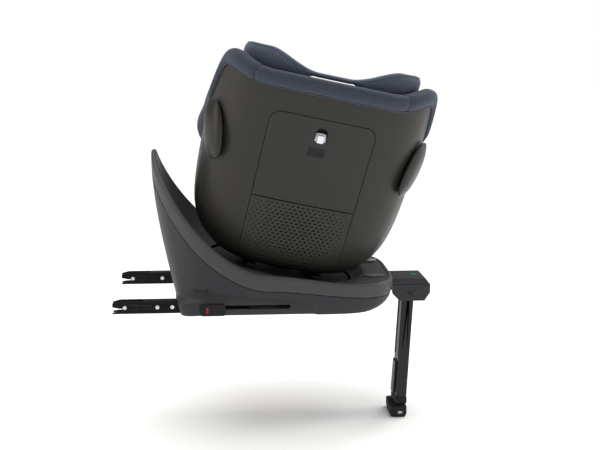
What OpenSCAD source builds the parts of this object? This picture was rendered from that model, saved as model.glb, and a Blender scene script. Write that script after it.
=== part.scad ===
// Swivelling child car seat: a tilted turntable base with two latch arms and a support leg,
// and a bucket seat that turns, reclines and carries a height-adjustable headrest.
// Frame: millimetres, +X towards the support leg, +Z up, origin at the centre of the base underside.

/* [Seat shell] */
// Largest half width of the outer shell
shell_half_w = 209; // [204:1:212]
// Rim height of the shell at the middle of the back, above the turntable
back_rim_h = 378; // [370:1:385]
// Rim height of the front lip
front_rim_h = 138; // [134:1:142]
// Backrest lean from the swivel axis, degrees
back_lean = 24; // [23:0.5:25]
// Wall thickness of the plastic shell
shell_t = 3.6; // [3:0.2:3.8]
// Outer and inner face of the foam liner, measured in from the shell
liner_t0 = 4.3; // [4:0.1:4.4]
liner_t1 = 18; // [16:0.5:18]
// Inner face of the fabric-covered padding, measured in from the shell
pad_t1 = 30; // [27:0.5:30]

/* [Base] */
// Swivel centre, forwards of the origin
swivel_x = 8; // [7:0.5:9]
// Height of the swivel centre above the underside
swivel_z = 77; // [76:0.5:78]
// Forward tilt of the swivel axis, degrees
swivel_tilt = 12; // [11.5:0.5:12.5]
// Half width of the base
base_half_w = 184; // [182:1:186]
// Wall thickness of the base casings
base_t = 3.2; // [2.8:0.2:3.4]
// Height of the lowest stretch of the base rim
rim_low = 60; // [59:0.5:62]
// Extra height of the tail above the lowest rim
tail_rise = 238; // [232:1:240]

/* [Latch arms] */
// Spacing of the two latch arms, fixed by the vehicle standard
latch_spacing = 280; // [280:1:280]
// Length of an arm outside and inside the base
arm_len = 278; // [270:1:280]
// Height of an arm
arm_h = 26; // [25:0.5:26.4]
// Radius of the jaw notch for the 6 mm vehicle bar
jaw_r = 3.2; // [3.1:0.05:3.3]

/* [Support leg] */
// Height of the foot sole, below the underside
sole_z = -268; // [-270:1:-266]
// Rearward lean of the leg, degrees
leg_lean = 3.4; // [3:0.2:3.8]
// Depth of the leg tube
leg_d = 23; // [22:0.5:23]
// Width of the leg tube
leg_w = 60; // [58:1:60]

/* [Headrest] */
// Height of the headrest wings above the turntable
head_wing_h = 451; // [448:1:454]
// Height of the headrest middle
head_mid_h = 420; // [418:1:422]
// Outer face of the headrest, measured in from the shell
head_t0 = 32; // [31.5:0.5:33]

/* [Hidden] */
$fn = 48;

lean_slope = tan(back_lean);
recline_r = 450;
recline_y = -60;
latch_y = latch_spacing / 2;
arm_z = 2.6;
arm_tip = -343;
arm_half_t = 11;
leg_x = 284;
leg_pin_z = 12;
leg_pin_r = 5;
panel_low = 28;
panel_mid = 157;
panel_top = 336;
panel_half = 105.5;
disc_r = 150;
well_r = 156;

// ---- small helpers ----
function ss(a, b, x) = let (t = min(1, max(0, (x - a) / (b - a)))) t * t * (3 - 2 * t);
function mix(a, b, t) = a + (b - a) * t;

// Closed two-skin surface over a grid. A is the outer skin and B the inner one, both [row][column].
// wrap joins the last column to the first, hole(i, j) leaves a cell open, poles closes row 0.
module two_skin(A, B, wrap = true, hole = function(i, j) false, pole = []) {
    ni = len(A);
    nj = len(A[0]);
    nc = wrap ? nj : nj - 1;
    id = function(i, j, k) (k * ni + i) * nj + j % nj;
    open = function(i, j) i < 0 || i > ni - 2 || (!wrap && (j < 0 || j >= nc)) ? true
                          : hole(i, (j + nc) % nc);
    capped = len(pole) > 0;
    quads = [for (i = [0 : ni - 2], j = [0 : nc - 1]) if (!hole(i, j)) each concat(
        [[id(i, j, 0), id(i, j + 1, 0), id(i + 1, j + 1, 0), id(i + 1, j, 0)],
         [id(i, j, 1), id(i + 1, j, 1), id(i + 1, j + 1, 1), id(i, j + 1, 1)]],
        (i == 0 && capped) || !open(i - 1, j) ? []
            : [[id(i, j, 1), id(i, j + 1, 1), id(i, j + 1, 0), id(i, j, 0)]],
        !open(i + 1, j) ? []
            : [[id(i + 1, j, 0), id(i + 1, j + 1, 0), id(i + 1, j + 1, 1), id(i + 1, j, 1)]],
        !open(i, wrap ? j - 1 + nc : j - 1) ? []
            : [[id(i, j, 0), id(i + 1, j, 0), id(i + 1, j, 1), id(i, j, 1)]],
        !open(i, j + 1) ? []
            : [[id(i, j + 1, 1), id(i + 1, j + 1, 1), id(i + 1, j + 1, 0), id(i, j + 1, 0)]])];
    tris = [for (q = quads) each [[q[2], q[1], q[0]], [q[3], q[2], q[0]]]];
    n = 2 * ni * nj;
    fans = !capped ? [] : [for (j = [0 : nc - 1]) each
        [[id(0, j, 0), id(0, j + 1, 0), n], [n + 1, id(0, j + 1, 1), id(0, j, 1)]]];
    polyhedron(points = concat([for (r = A) each r], [for (r = B) each r], pole),
               faces = concat(tris, fans), convexity = 10);
}

// Closed solid through a list of cross-section loops. ring joins the last loop to the first.
module loft(loops, ring = false) {
    n = len(loops);
    m = len(loops[0]);
    id = function(i, j) (i % n) * m + j % m;
    sides = [for (i = [0 : ring ? n - 1 : n - 2], j = [0 : m - 1]) each
        [[id(i, j), id(i, j + 1), id(i + 1, j + 1)], [id(i, j), id(i + 1, j + 1), id(i + 1, j)]]];
    ends = ring ? [] : [for (j = [1 : m - 2]) each
        [[id(0, 0), id(0, j + 1), id(0, j)], [id(n - 1, 0), id(n - 1, j), id(n - 1, j + 1)]]];
    polyhedron(points = [for (l = loops) each l], faces = concat(sides, ends), convexity = 10);
}

// Flat strap along points in a plane of constant x, w wide along x and t thick.
module strap(path, w, t) {
    n = len(path);
    dir = [for (i = [0 : n - 1]) path[min(n - 1, i + 1)] - path[max(0, i - 1)]];
    loft([for (i = [0 : n - 1]) let (d = dir[i] / norm(dir[i]), k = cross([1, 0, 0], d), u = k / norm(k),
        c = path[i], a = [w / 2, 0, 0], b = u * t / 2) [c - a - b, c + a - b, c + a + b, c - a + b]]);
}

// Rounded slab centred in x and y, standing on z = 0.
module slab(x, y, z, r) {
    linear_extrude(z) hull() for (i = [-1, 1], j = [-1, 1])
        translate([i * (x / 2 - r), j * (y / 2 - r)]) circle(r, $fn = 24);
}

module box(a, b) { translate(a) cube(b - a); }

module seat_frame() { translate([swivel_x, 0, swivel_z]) rotate([0, swivel_tilt, 0]) children(); }

// ---- bucket surface, in the seat frame: x across, y forwards, z along the swivel axis ----
function half_w(v) = shell_half_w - 94 * exp(-v / 46);
function mid_y(v) = -lean_slope * v;
function back_d(v) = 130 - 45 * exp(-v / 15);
function front_d(v) = 140 + 1.145 * v;
function fold180(p) = let (q = (p % 360 + 360) % 360) q > 180 ? 360 - q : q;
function rim_v(p) = let (q = fold180(p)) back_rim_h + 22 * ss(35, 68, q) - 85 * ss(68, 98, q)
    - 105 * ss(90, 128, q) - (back_rim_h - 168 - front_rim_h) * ss(118, 165, q);
function plan_r(p) = let (n = cos(p) > 0 ? 2.5 : 3.2)
    pow(pow(abs(sin(p)), n) + pow(abs(cos(p)), n), -1 / n);
// Extra width of the arms, in front of the swivel axis
function flare(p) = let (q = fold180(p)) 12 * ss(66, 104, q) * (1 - ss(126, 160, q));
function wall_pt(p, v, d) = let (r = plan_r(p), k = cos(p) > 0 ? back_d(v) : front_d(v), w = half_w(v))
    [(w - d) * r * sin(p) + sign(sin(p)) * flare(p) * w / shell_half_w, mid_y(v) - (k - d) * r * cos(p), v];
function rocker_v(y) = recline_r - sqrt(recline_r * recline_r - (y - recline_y) * (y - recline_y));
function chine_v(p) = 6 + 76 * pow((1 - cos(p)) / 2, 3);
function floor_pt(p, k, d) = let (c = wall_pt(p, chine_v(p) + 0.9 * d, d), y = mix(-10, c.y, k))
    [c.x * k, y, 1.01 * d + rocker_v(y) + (c.z - 1.01 * d - rocker_v(c.y)) * pow(k, 4)];
// A column is either a fraction of the back panel's half width (kind 0) or an angle (kind 1).
function col_angle(c, v) = c[0] == 1 ? c[1]
    : let (t = c[1] * panel_half / half_w(v)) atan2(t, pow(1 - pow(abs(t), 2.5), 1 / 2.5));
// A row is a fraction of the floor (kind 0) or of the wall from chine to rim (kind 1).
function bucket_pt(c, row, d, top = 0) = let (p0 = c[0] == 1 ? c[1] : c[1] * 30, lo = chine_v(p0) + 0.9 * d,
    v = row[0] == 0 ? lo : mix(lo, rim_v(p0) + top, row[1]), p = col_angle(c, v))
    row[0] == 0 ? floor_pt(p, row[1], d) : wall_pt(p, v, d);
function skin(cols, rows, d, top = 0) = [for (r = rows) [for (c = cols) bucket_pt(c, r, d, top)]];

panel_cols = [for (k = [-1 : 0.4 : 1.01]) [0, k]];
right_cols = [for (p = [40, 48, 56, 64, 72, 80, 88, 96, 104, 112, 121, 130, 140, 150, 160, 170]) [1, p]];
left_cols = [for (i = [len(right_cols) - 1 : -1 : 0]) [1, 360 - right_cols[i][1]]];
all_cols = concat(panel_cols, right_cols, [[1, 180]], left_cols);
floor_rows = [for (k = [0.3, 0.6, 0.85]) [0, k]];
function wall_frac(v) = (v - 6) / (back_rim_h - 6);
wall_rows = [for (k = [0, 0.03, wall_frac(panel_low), 0.15, 0.27, wall_frac(panel_mid), 0.55, 0.7,
                       wall_frac(panel_top), 0.94, 1]) [1, k]];
all_rows = concat(floor_rows, wall_rows);
panel_row0 = len(floor_rows) + 2;
panel_row1 = len(floor_rows) + 5;
panel_row2 = len(floor_rows) + 8;
function floor_pole(d) = [0, -10, 1.01 * d + rocker_v(-10)];
function in_panel(i, j) = j < len(panel_cols) - 1 && i >= panel_row0 && i < panel_row2;
function cols_between(a, b) = [for (c = concat(right_cols, [[1, 180]], left_cols)) if (c[1] >= a && c[1] <= b) c];

module bucket_layer(d0, d1, rows, cols, top = 0) {
    two_skin(skin(cols, rows, d0, top), skin(cols, rows, d1, top), wrap = false);
}

module outer_shell() {
    color([0.235, 0.235, 0.227]) seat_frame()
        two_skin(skin(all_cols, all_rows, 0), skin(all_cols, all_rows, shell_t),
                 hole = function(i, j) in_panel(i, j), pole = [floor_pole(0), floor_pole(shell_t)]);
}

module foam_liner() {
    color([0.93, 0.93, 0.93]) seat_frame()
        two_skin(skin(all_cols, all_rows, liner_t0), skin(all_cols, all_rows, liner_t1),
                 hole = function(i, j) in_panel(i, j), pole = [floor_pole(liner_t0), floor_pole(liner_t1)]);
}

// Panel piece between two heights of the back opening, gap inside its edges
module panel_piece(v0, v1, d0, d1, gap, ncol = 6) {
    k = 1 - gap / 100;
    cols = [for (c = [0 : ncol]) [0, k * (2 * c / ncol - 1)]];
    rows = [for (r = [0 : 4]) [1, mix(wall_frac(v0 + gap), wall_frac(v1 - gap), r / 4)]];
    bucket_layer(d0, d1, rows, cols);
}

module storage_door() {
    color([0.23, 0.23, 0.22]) seat_frame() panel_piece(panel_mid + 0.6, panel_top, 0, shell_t - 0.4, 1.1);
}

// Louvred vent panel: a field of round perforations through the lower half of the back panel
module vent_grille() {
    color([0.21, 0.21, 0.2]) seat_frame() {
        n = 12;
        m = 9;
        cols = [for (c = [0 : 2 * n]) [0, 0.985 * (c / n - 1)]];
        rows = [for (r = [0 : 2 * m]) [1, mix(wall_frac(panel_low + 1), wall_frac(panel_mid - 0.8), r / (2 * m))]];
        two_skin(skin(cols, rows, 0), skin(cols, rows, shell_t - 0.6), wrap = false,
                 hole = function(i, j) i % 2 == 1 && (j + floor(i / 2)) % 2 == 1
                        && i > 1 && i < 2 * m - 2 && j > 1 && j < 2 * n - 2);
    }
}

module storage_tray() {
    color([0.12, 0.12, 0.12]) seat_frame() panel_piece(panel_low + 6, panel_top - 6, 14.5, 17, 3);
}

// Small catch behind the finger opening at the top of the door
module door_latch() {
    color([0.85, 0.86, 0.88]) seat_frame() {
        c = wall_pt(0, 296, -0.2);
        translate(c) rotate([back_lean, 0, 0]) translate([-6, -2.4, -8]) cube([12, 2.2, 16]);
    }
}

// Share of the extra width that the fabric roll has beside the seat
function arm_bulge(p) = let (q = fold180(p)) ss(92, 112, q) * (1 - ss(140, 166, q));
// Fabric roll around the whole rim
module edge_trim() {
    sec = [[2.4, -3], [9, -7], [20, -8], [28, -2], [32, 8], [31, 20], [22, 28.5], [10, pad_t1 + 0.5], [2.4, pad_t1]];
    cols = concat([for (k = [-1 : 0.5 : 1.01]) [0, k]], right_cols, [[1, 180]], left_cols);
    color([0.16, 0.18, 0.24]) seat_frame()
        loft([for (c = cols) let (p = c[0] == 1 ? c[1] : c[1] * 30, v = rim_v(p), q = col_angle(c, v))
              [for (s = sec) wall_pt(q, v + s[0], s[1] < 0 ? s[1] - 12 * arm_bulge(p) : s[1])]], ring = true);
}

module seat_pad() {
    rows = concat(floor_rows, [[1, 0], [1, 0.045]]);
    color([0.18, 0.2, 0.26]) seat_frame()
        two_skin(skin(all_cols, rows, liner_t1 + 0.4), skin(all_cols, rows, pad_t1 + 4),
                 pole = [floor_pole(liner_t1 + 0.4), floor_pole(pad_t1 + 4)]);
}
pad_t0 = liner_t1 + 1;
pad_rows = [for (k = [wall_frac(panel_low), 0.15, 0.27, wall_frac(panel_mid), 0.55, 0.7, wall_frac(panel_top),
                      0.94, 1]) [1, k]];
module back_pad() {
    cols = concat([for (c = left_cols) if (c[1] >= 304) [1, c[1] - 360]], [for (k = [-1 : 0.4 : 1.01]) [0, k]],
                  cols_between(40, 56));
    color([0.18, 0.2, 0.26]) seat_frame() bucket_layer(pad_t0, pad_t1, pad_rows, cols);
}
module side_pad(a, b) {
    cols = concat([[1, a]], cols_between(a + 1, b - 1), [[1, b]]);
    color([0.18, 0.2, 0.26]) seat_frame() bucket_layer(pad_t0, pad_t1, pad_rows, cols);
}
module side_pad_right() { side_pad(57, 129); }
module side_pad_left() { side_pad(231, 303); }
module front_pad() { side_pad(130, 230); }

// Mushroom sockets that the side pods ride on, one each side of the shell
pod_v = 268;
pod_p = 65;
module at_pod(s) {
    c = wall_pt(s * pod_p, pod_v, 0);
    e = wall_pt(s * (pod_p + 1), pod_v, 0) - wall_pt(s * (pod_p - 1), pod_v, 0);
    k = s * cross(e, wall_pt(s * pod_p, pod_v + 5, 0) - c);
    n = k / norm(k);
    translate(c) rotate([0, acos(n.z), atan2(n.y, n.x)]) children();
}
module pod_sockets() {
    color([0.15, 0.15, 0.15]) seat_frame() for (s = [-1, 1])
        at_pod(s) translate([0, 0, 0.6]) cylinder(r = 8, h = 13);
}
module side_pod(s) {
    color([0.22, 0.22, 0.21]) seat_frame() at_pod(s) difference() {
        hull() for (i = [-1, 1]) {
            translate([i * 22, 0, 3]) cylinder(r = 33, h = 1, $fn = 32);
            translate([i * 24, 0, 6]) cylinder(r = 35.5, h = 2, $fn = 32);
            translate([i * 12, 0, 16]) cylinder(r = 18, h = 1.5, $fn = 32);
        }
        translate([0, 0, -1]) cylinder(r = 8.05, h = 15);
    }
}
module side_pod_left() { side_pod(-1); }
module side_pod_right() { side_pod(1); }

// Runners under the shell: two arcs about the recline axis
module arc_bar(x0, x1, r0, r1, a0, a1) {
    translate([0, recline_y, recline_r]) rotate([a0, 0, 0]) rotate([0, 90, 0])
        translate([0, 0, x0]) rotate_extrude(angle = a1 - a0, $fn = 240)
        translate([r0, 0]) square([r1 - r0, x1 - x0]);
}
module shell_runners() {
    color([0.3, 0.3, 0.3]) seat_frame() for (s = [-1, 1])
        arc_bar(s * 70 - 8, s * 70 + 8, recline_r + 0.3, recline_r + 4.6, -5, 18);
}
module recline_guides() {
    color([0.4, 0.4, 0.4]) seat_frame() for (s = [-1, 1]) difference() {
        box([s * 70 - 12, -92, -6], [s * 70 + 12, 118, 36]);
        arc_bar(s * 70 - 20, s * 70 + 20, recline_r - 80, recline_r + 0.8, -25, 40);
        arc_bar(s * 70 - 8.5, s * 70 + 8.5, recline_r - 80, recline_r + 5, -25, 40);
    }
}
module turntable_disc() {
    color([0.2, 0.2, 0.2]) seat_frame() difference() {
        translate([0, 0, -12]) cylinder(r = disc_r, h = 6, $fn = 96);
        translate([0, 0, -13]) cylinder(r = 18.05, h = 8);
    }
}
module bearing_ring_upper() {
    color("silver") seat_frame() difference() {
        translate([0, 0, -18]) cylinder(r = 118, h = 6, $fn = 96);
        translate([0, 0, -19]) cylinder(r = 100, h = 8, $fn = 96);
    }
}
module bearing_ring_lower() {
    color("silver") seat_frame() difference() {
        translate([0, 0, -26]) cylinder(r = 120, h = 7.6, $fn = 96);
        translate([0, 0, -27]) cylinder(r = 98, h = 10, $fn = 96);
    }
}
module swivel_pedestal() {
    color([0.2, 0.2, 0.2]) difference() {
        seat_frame() difference() {
            translate([0, 0, -80]) cylinder(r = 122, h = 54, $fn = 96);
            translate([0, 0, -81]) cylinder(r = 94, h = 56, $fn = 96);
        }
        translate([-200, -200, -200]) cube([400, 400, 200 + 24.4]);
    }
}
module swivel_axle() {
    color("silver") seat_frame() {
        translate([0, 0, -40]) cylinder(r = 18, h = 34.6);
        translate([0, 0, -44]) cylinder(r = 30, h = 4);
    }
}
module swivel_nut() {
    color("silver") seat_frame() translate([0, 0, -5.4]) difference() {
        cylinder(r = 26, h = 4.2);
        translate([0, 0, -1]) cylinder(r = 6, h = 7);
    }
}
// Pull handle under the front lip that frees the recline
module recline_handle() {
    color([0.25, 0.25, 0.25]) seat_frame() {
        y = 176;
        translate([0, y, rocker_v(y) - 17]) rotate([24, 0, 0]) {
            slab(96, 26, 8, 8);
            translate([-14, -12, 8]) cube([28, 20, 4]);
        }
    }
}

// ---- headrest ----
function head_top(p) = let (q = fold180(p)) mix(head_mid_h, head_wing_h, ss(10, 48, q)) - 70 * ss(84, 122, q);
function head_low(p) = let (q = fold180(p)) 250 + 20 * ss(60, 110, q);
head_cols = [for (p = [-120 : 8 : 120.1]) p];
head_rows = [0, 0.125, 0.25, 0.375, 0.5, 0.625, 0.78, 0.955, 1];
function lever_window(i, j) = i == 6 && abs(head_cols[j] + 4) < 14;
// The headrest keeps one cross-section along the back, so its surfaces use the upper shell's widths.
function head_skin(d, top, low) = [for (t = head_rows) [for (p = head_cols)
    let (v = mix(head_low(p) + low, head_top(p) - top, t), r = plan_r(p), k = cos(p) > 0 ? 130 : 330)
    [(shell_half_w - 1.8 - d) * r * sin(p), mid_y(v) - (k - d) * r * cos(p), v]]];
module headrest_shell() {
    color([0.17, 0.19, 0.25]) seat_frame()
        two_skin(head_skin(head_t0, 3, 0), head_skin(head_t0 + 4, 3, 0), wrap = false,
                 hole = function(i, j) lever_window(i, j));
}
module headrest_pad() {
    color([0.18, 0.2, 0.27]) seat_frame()
        two_skin(head_skin(head_t0 + 4.4, 0, 4), head_skin(head_t0 + 28, 6, 10), wrap = false,
                 hole = function(i, j) lever_window(i, j));
}
// Squeeze lever in the window under the top bar of the headrest
module headrest_lever() {
    color([0.3, 0.3, 0.31]) seat_frame() translate([0, mid_y(390.6) - 130 + head_t0 + 14, 390.6])
        rotate([back_lean, 0, 0]) slab(86, 10, 6, 3);
}

// ---- harness ----
// Shoulder straps from the headrest's slots down the back and out to the buckle: across, forwards, up
strap_route = [[44, -203, 246], [44, -185, 200], [43, -163, 150], [40, -142, 110], [36, -121, 84],
    [32, -94, 74], [26, -60, 80], [20, -20, 106], [15, 14, 132], [13, 33, 147]];
module harness_straps() {
    color([0.1, 0.11, 0.13]) seat_frame() for (s = [-1, 1])
        strap([for (c = strap_route) [s * c.x, c.y, c.z]], 24, 2);
}
buckle_c = [0, 60, 88];
module at_buckle() { seat_frame() translate(buckle_c) rotate([20, 0, 0]) children(); }
module harness_buckle() {
    color([0.12, 0.12, 0.12]) at_buckle() difference() {
        slab(50, 26, 58, 8);
        translate([-13, 3, 18]) cube([26, 12, 26]);
    }
}
module buckle_button() { color([0.75, 0.05, 0.08]) at_buckle() box([-12.5, 6.5, 18.5], [12.5, 14.5, 43.5]); }
module crotch_strap() {
    color([0.1, 0.11, 0.13]) seat_frame() strap([[0, 62, 52.5], [0, 62, 66], [0, 61, 78], [0, 60.2, 87]], 32, 2);
}
module at_adjuster() { seat_frame() translate([0, 150, 97]) rotate([28, 0, 0]) children(); }
module adjuster_housing() {
    color([0.2, 0.2, 0.2]) at_adjuster() difference() {
        translate([0, 0, -2]) slab(52, 34, 10, 8);
        translate([-14, -10, 1.5]) cube([28, 20, 10]);
    }
}
module adjuster_button() { color([0.6, 0.6, 0.6]) at_adjuster() box([-13.5, -9.5, 5.5], [13.5, 9.5, 12]); }
// Pull strap from the adjuster over the front lip
module adjuster_strap() {
    color([0.1, 0.11, 0.13]) seat_frame()
        strap([[0, 168, 112], [0, 184, 124], [0, 197, 140], [0, 205, 152], [0, 218, 168], [0, 234, 175.5],
               [0, 252, 177], [0, 264, 170], [0, 267, 156], [0, 265, 130]], 24, 2);
}

// ---- base ----
base_xc = -5;
function len_rear(z) = 201 + 59 * (1 - pow(max(0, 1 - z / 300), 1.7));
function len_front(z) = 196 + 51 * (1 - exp(-z / 14));
function base_w(z) = base_half_w - 8 * exp(-z / 12);
function n_rear(z) = 2.4 + 5.6 * exp(-z / 60);
function n_front(z) = 4 + 3 * exp(-z / 20);
function base_pt(q, z, inset) = let (n = cos(q) < 0 ? n_rear(z) : n_front(z), l = cos(q) < 0 ? len_rear(z) : len_front(z),
    r = pow(pow(abs(sin(q)), n) + pow(abs(cos(q)), n), -1 / n))
    [base_xc + (l - inset) * r * cos(q), (base_w(z) - inset) * r * sin(q), z];
function rim_z(q) = let (p = fold180(q)) rim_low + 24 * ss(45, 100, p) + tail_rise * pow(sin(90 * min(1, max(0, (p - 95) / 85))), 2);
function seam_z(q) = let (p = fold180(q)) rim_z(q) - 29 - 12 * ss(60, 150, p);
function side_recess(x, z) = 6 * ss(60, 45, x) * ss(31, 25, z);

function to_seat(p) = let (a = p - [swivel_x, 0, swivel_z], c = cos(swivel_tilt), s = sin(swivel_tilt))
    [a.x * c - a.z * s, a.y, a.x * s + a.z * c];
function from_seat(p) = let (c = cos(swivel_tilt), s = sin(swivel_tilt))
    [swivel_x + p.x * c + p.z * s, p.y, swivel_z - p.x * s + p.z * c];
function scoop_v(r) = -3 + 184 * pow(max(0, (r - well_r) / 150), 2.8);
function scoop_seat(q, t) = let (e = to_seat(base_pt(q, rim_z(q) - 2, 10)), re = norm([e.x, e.y]),
    a = atan2(e.y, e.x), r = mix(well_r, re, t), bowl = scoop_v(r) + (e.z - scoop_v(re)) * pow(t, 1.5),
    flat = (rim_z(q) - 2 - swivel_z + r * cos(a) * sin(swivel_tilt)) / cos(swivel_tilt))
    [r * cos(a), r * sin(a), mix(mix(-3, flat, ss(158, 178, r)), bowl, ss(50, 80, fold180(q)))];
function scoop_under(q, t) = let (a = scoop_seat(q, max(0, t - 0.02)), b = scoop_seat(q, min(1, t + 0.02)),
    dr = norm([b.x, b.y]) - norm([a.x, a.y]), dv = b.z - a.z, l = norm([dr, dv]), p = scoop_seat(q, t),
    g = atan2(p.y, p.x)) p + base_t * [cos(g) * dv / l, sin(g) * dv / l, -dr / l];
base_angles = [for (q = [0 : 7.5 : 352.5]) q];
scoop_steps = [0.96, 0.8, 0.62, 0.44, 0.22, 0];
module base_upper_casing() {
    color([0.26, 0.26, 0.27]) loft([for (i = [len(base_angles) - 1 : -1 : 0]) let (q = base_angles[i], h = rim_z(q), s = seam_z(q) + 0.6)
        concat([base_pt(q, s, 0), base_pt(q, mix(s, h, 0.5), 0), base_pt(q, h - 5, 0.8), base_pt(q, h - 1, 3.5), base_pt(q, h, 6.5)],
               [for (t = scoop_steps) from_seat(scoop_seat(q, t))],
               [for (k = [len(scoop_steps) - 1 : -1 : 1]) from_seat(scoop_under(q, scoop_steps[k]))],
               [base_pt(q, mix(s, h, 0.72), base_t + 1.4), base_pt(q, mix(s, h, 0.5), base_t), base_pt(q, s, base_t)])], ring = true);
}

// Columns of the lower casing: [0, angle], [1, x, side] along a side, [2, y] across the rear,
// [3, share, side] spread round a rear corner.
function ang_x(x, s, z) = let (t = (x - base_xc) / (x < base_xc ? len_rear(z) : len_front(z)), n = x < base_xc ? n_rear(z) : n_front(z))
    atan2(s * pow(1 - pow(abs(t), n), 1 / n), t);
function ang_y(y, z) = let (t = y / base_w(z), n = n_rear(z), a = atan2(t, -pow(1 - pow(abs(t), n), 1 / n)))
    a < 0 ? a + 360 : a;
rear_x = -150;
rear_y = 163.5;
function low_angle(c, z) = c[0] == 0 ? c[1]
    : c[0] == 1 ? (c[2] > 0 ? ang_x(c[1], 1, z) : 360 + ang_x(c[1], -1, z))
    : c[0] == 2 ? ang_y(c[1], z)
    : c[2] > 0 ? mix(ang_x(rear_x, 1, z), ang_y(rear_y, z), c[1])
    : mix(ang_y(-rear_y, z), 360 + ang_x(rear_x, -1, z), c[1]);
corner_k = [0.17, 0.33, 0.5, 0.67, 0.83];
front_q = [0, 12, 24, 34, 42, 50, 60];
side_x = [100, 75, 50, 17, -15, -45, -75, -105, -128, rear_x];
rear_ys = [rear_y, 125, 90, 50, 15, -15, -50, -90, -125, -rear_y];
low_cols = concat([for (q = front_q) [0, q]], [for (x = side_x) [1, x, 1]], [for (k = corner_k) [3, k, 1]],
    [for (y = rear_ys) [2, y]], [for (k = corner_k) [3, k, -1]],
    [for (i = [len(side_x) - 1 : -1 : 0]) [1, side_x[i], -1]], [for (i = [len(front_q) - 1 : -1 : 1]) [0, 360 - front_q[i]]]);
low_z = [0, 2.2, 13.5, 22.5, 26, 30];
// Height of the seam above a column, found by stepping up the column's own curve
function low_top(c, n) = n == 0 ? 60 : let (z = low_top(c, n - 1)) mix(z, seam_z(low_angle(c, z)), 0.6);
function low_pt(c, i, inset) = let (zt = max(low_top(c, 8) - 1.6, 30.6),
    z = i < 0 ? 0 : i < len(low_z) ? low_z[i] : mix(low_z[5], zt, (i - 5) / 3), p = base_pt(low_angle(c, z), z, inset),
    g = inset > 0 && i == 0 ? base_t * 0.7 : 0)
    [p.x, p.y - sign(p.y) * side_recess(p.x, z) * ss(100, 140, abs(p.y)), z + g];
low_rows = [for (i = [0 : 8]) i];
function low_hole(i, j) = let (c = low_cols[j], d = low_cols[(j + 1) % len(low_cols)])
    (i == 2 && c[0] == 1 && d[0] == 1 && min(c[1], d[1]) >= rear_x && max(c[1], d[1]) <= 17)
    || (i >= 1 && i <= 4 && c[0] == 2 && d[0] == 2 && abs(c[1] + d[1]) > 285);
module base_lower_casing() {
    A = [for (i = low_rows) [for (c = low_cols) low_pt(c, i, 0)]];
    B = [for (i = low_rows) [for (c = low_cols) low_pt(c, i, base_t)]];
    color([0.22, 0.22, 0.22])
        two_skin(A, B, hole = function(i, j) low_hole(i, j), pole = [[0, 0, 0], [0, 0, base_t * 0.7]]);
}

// Steel rails and cross members that join the latch arms, the swivel and the leg
module base_chassis() {
    color([0.35, 0.35, 0.36]) {
        for (s = [-1, 1]) box([-185, s * 105 - 9, 4], [178, s * 105 + 9, 24]);
        box([-185, -96, 4], [-165, 96, 24]);
        box([158, -96, 4], [178, 96, 24]);
        box([-8, -96, 4], [12, 96, 24]);
    }
}
module latch_channel(s) {
    color([0.5, 0.5, 0.5]) translate([0, s * latch_y, 0]) {
        box([-185, -15.5, 2.4], [66, -13, 31.5]);
        difference() {
            box([-185, 13, 2.4], [66, 15.5, 31.5]);
            box([-155, 5, 12], [20, 20, 24]);
        }
        box([-185, -13, 29.2], [66, 13, 31.5]);
    }
}
module latch_channel_left() { latch_channel(1); }
module latch_channel_right() { mirror([0, 1, 0]) latch_channel(1); }

arm_rivets = [-318, -252, -222];
arm_mid = arm_z + arm_h / 2;
module latch_arm() {
    color([0.1, 0.1, 0.1]) difference() {
        union() {
            for (s = [-1, 1]) box([arm_tip, s * 9.25 - 1.75, arm_z], [arm_tip + arm_len, s * 9.25 + 1.75, arm_z + arm_h]);
            box([arm_tip + 62, -7.5, arm_z], [arm_tip + arm_len, 7.5, arm_z + arm_h]);
        }
        box([arm_tip - 1, -20, arm_mid - 5 - jaw_r], [arm_tip + 18, 20, arm_mid - 5 + jaw_r]);
        translate([arm_tip + 18, 20, arm_mid - 5]) rotate([90, 0, 0]) cylinder(r = jaw_r, h = 40);
        translate([arm_tip, 20, 0]) rotate([90, 0, 0]) linear_extrude(40) {
            polygon([[-1, arm_mid - 10.2], [13, arm_mid - 5 - jaw_r], [13, arm_mid - 5 + jaw_r], [-1, arm_mid + 1.6]]);
            polygon([[-1, arm_z + arm_h - 4.4], [15, arm_z + arm_h + 0.1], [-1, arm_z + arm_h + 0.1]]);
        }
        for (x = arm_rivets) translate([x, 20, arm_mid]) rotate([90, 0, 0]) cylinder(r = 2.55, h = 40);
        box([-134.5, 9, arm_mid - 1.7], [-119.5, 12, arm_mid + 5.3]);
    }
}
module latch_arm_left() { translate([0, latch_y, 0]) latch_arm(); }
module latch_arm_right() { mirror([0, 1, 0]) latch_arm_left(); }
module latch_rivets() {
    color("silver") for (x = arm_rivets) translate([x, 12.6, arm_mid]) rotate([90, 0, 0]) {
        translate([0, 0, 0.2]) cylinder(r = 2.5, h = 24.8);
        cylinder(r = 4, h = 1.55);
        translate([0, 0, 23.65]) cylinder(r = 4, h = 1.55);
    }
}
module latch_rivets_left() { translate([0, latch_y, 0]) latch_rivets(); }
module latch_rivets_right() { mirror([0, 1, 0]) latch_rivets_left(); }
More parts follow.
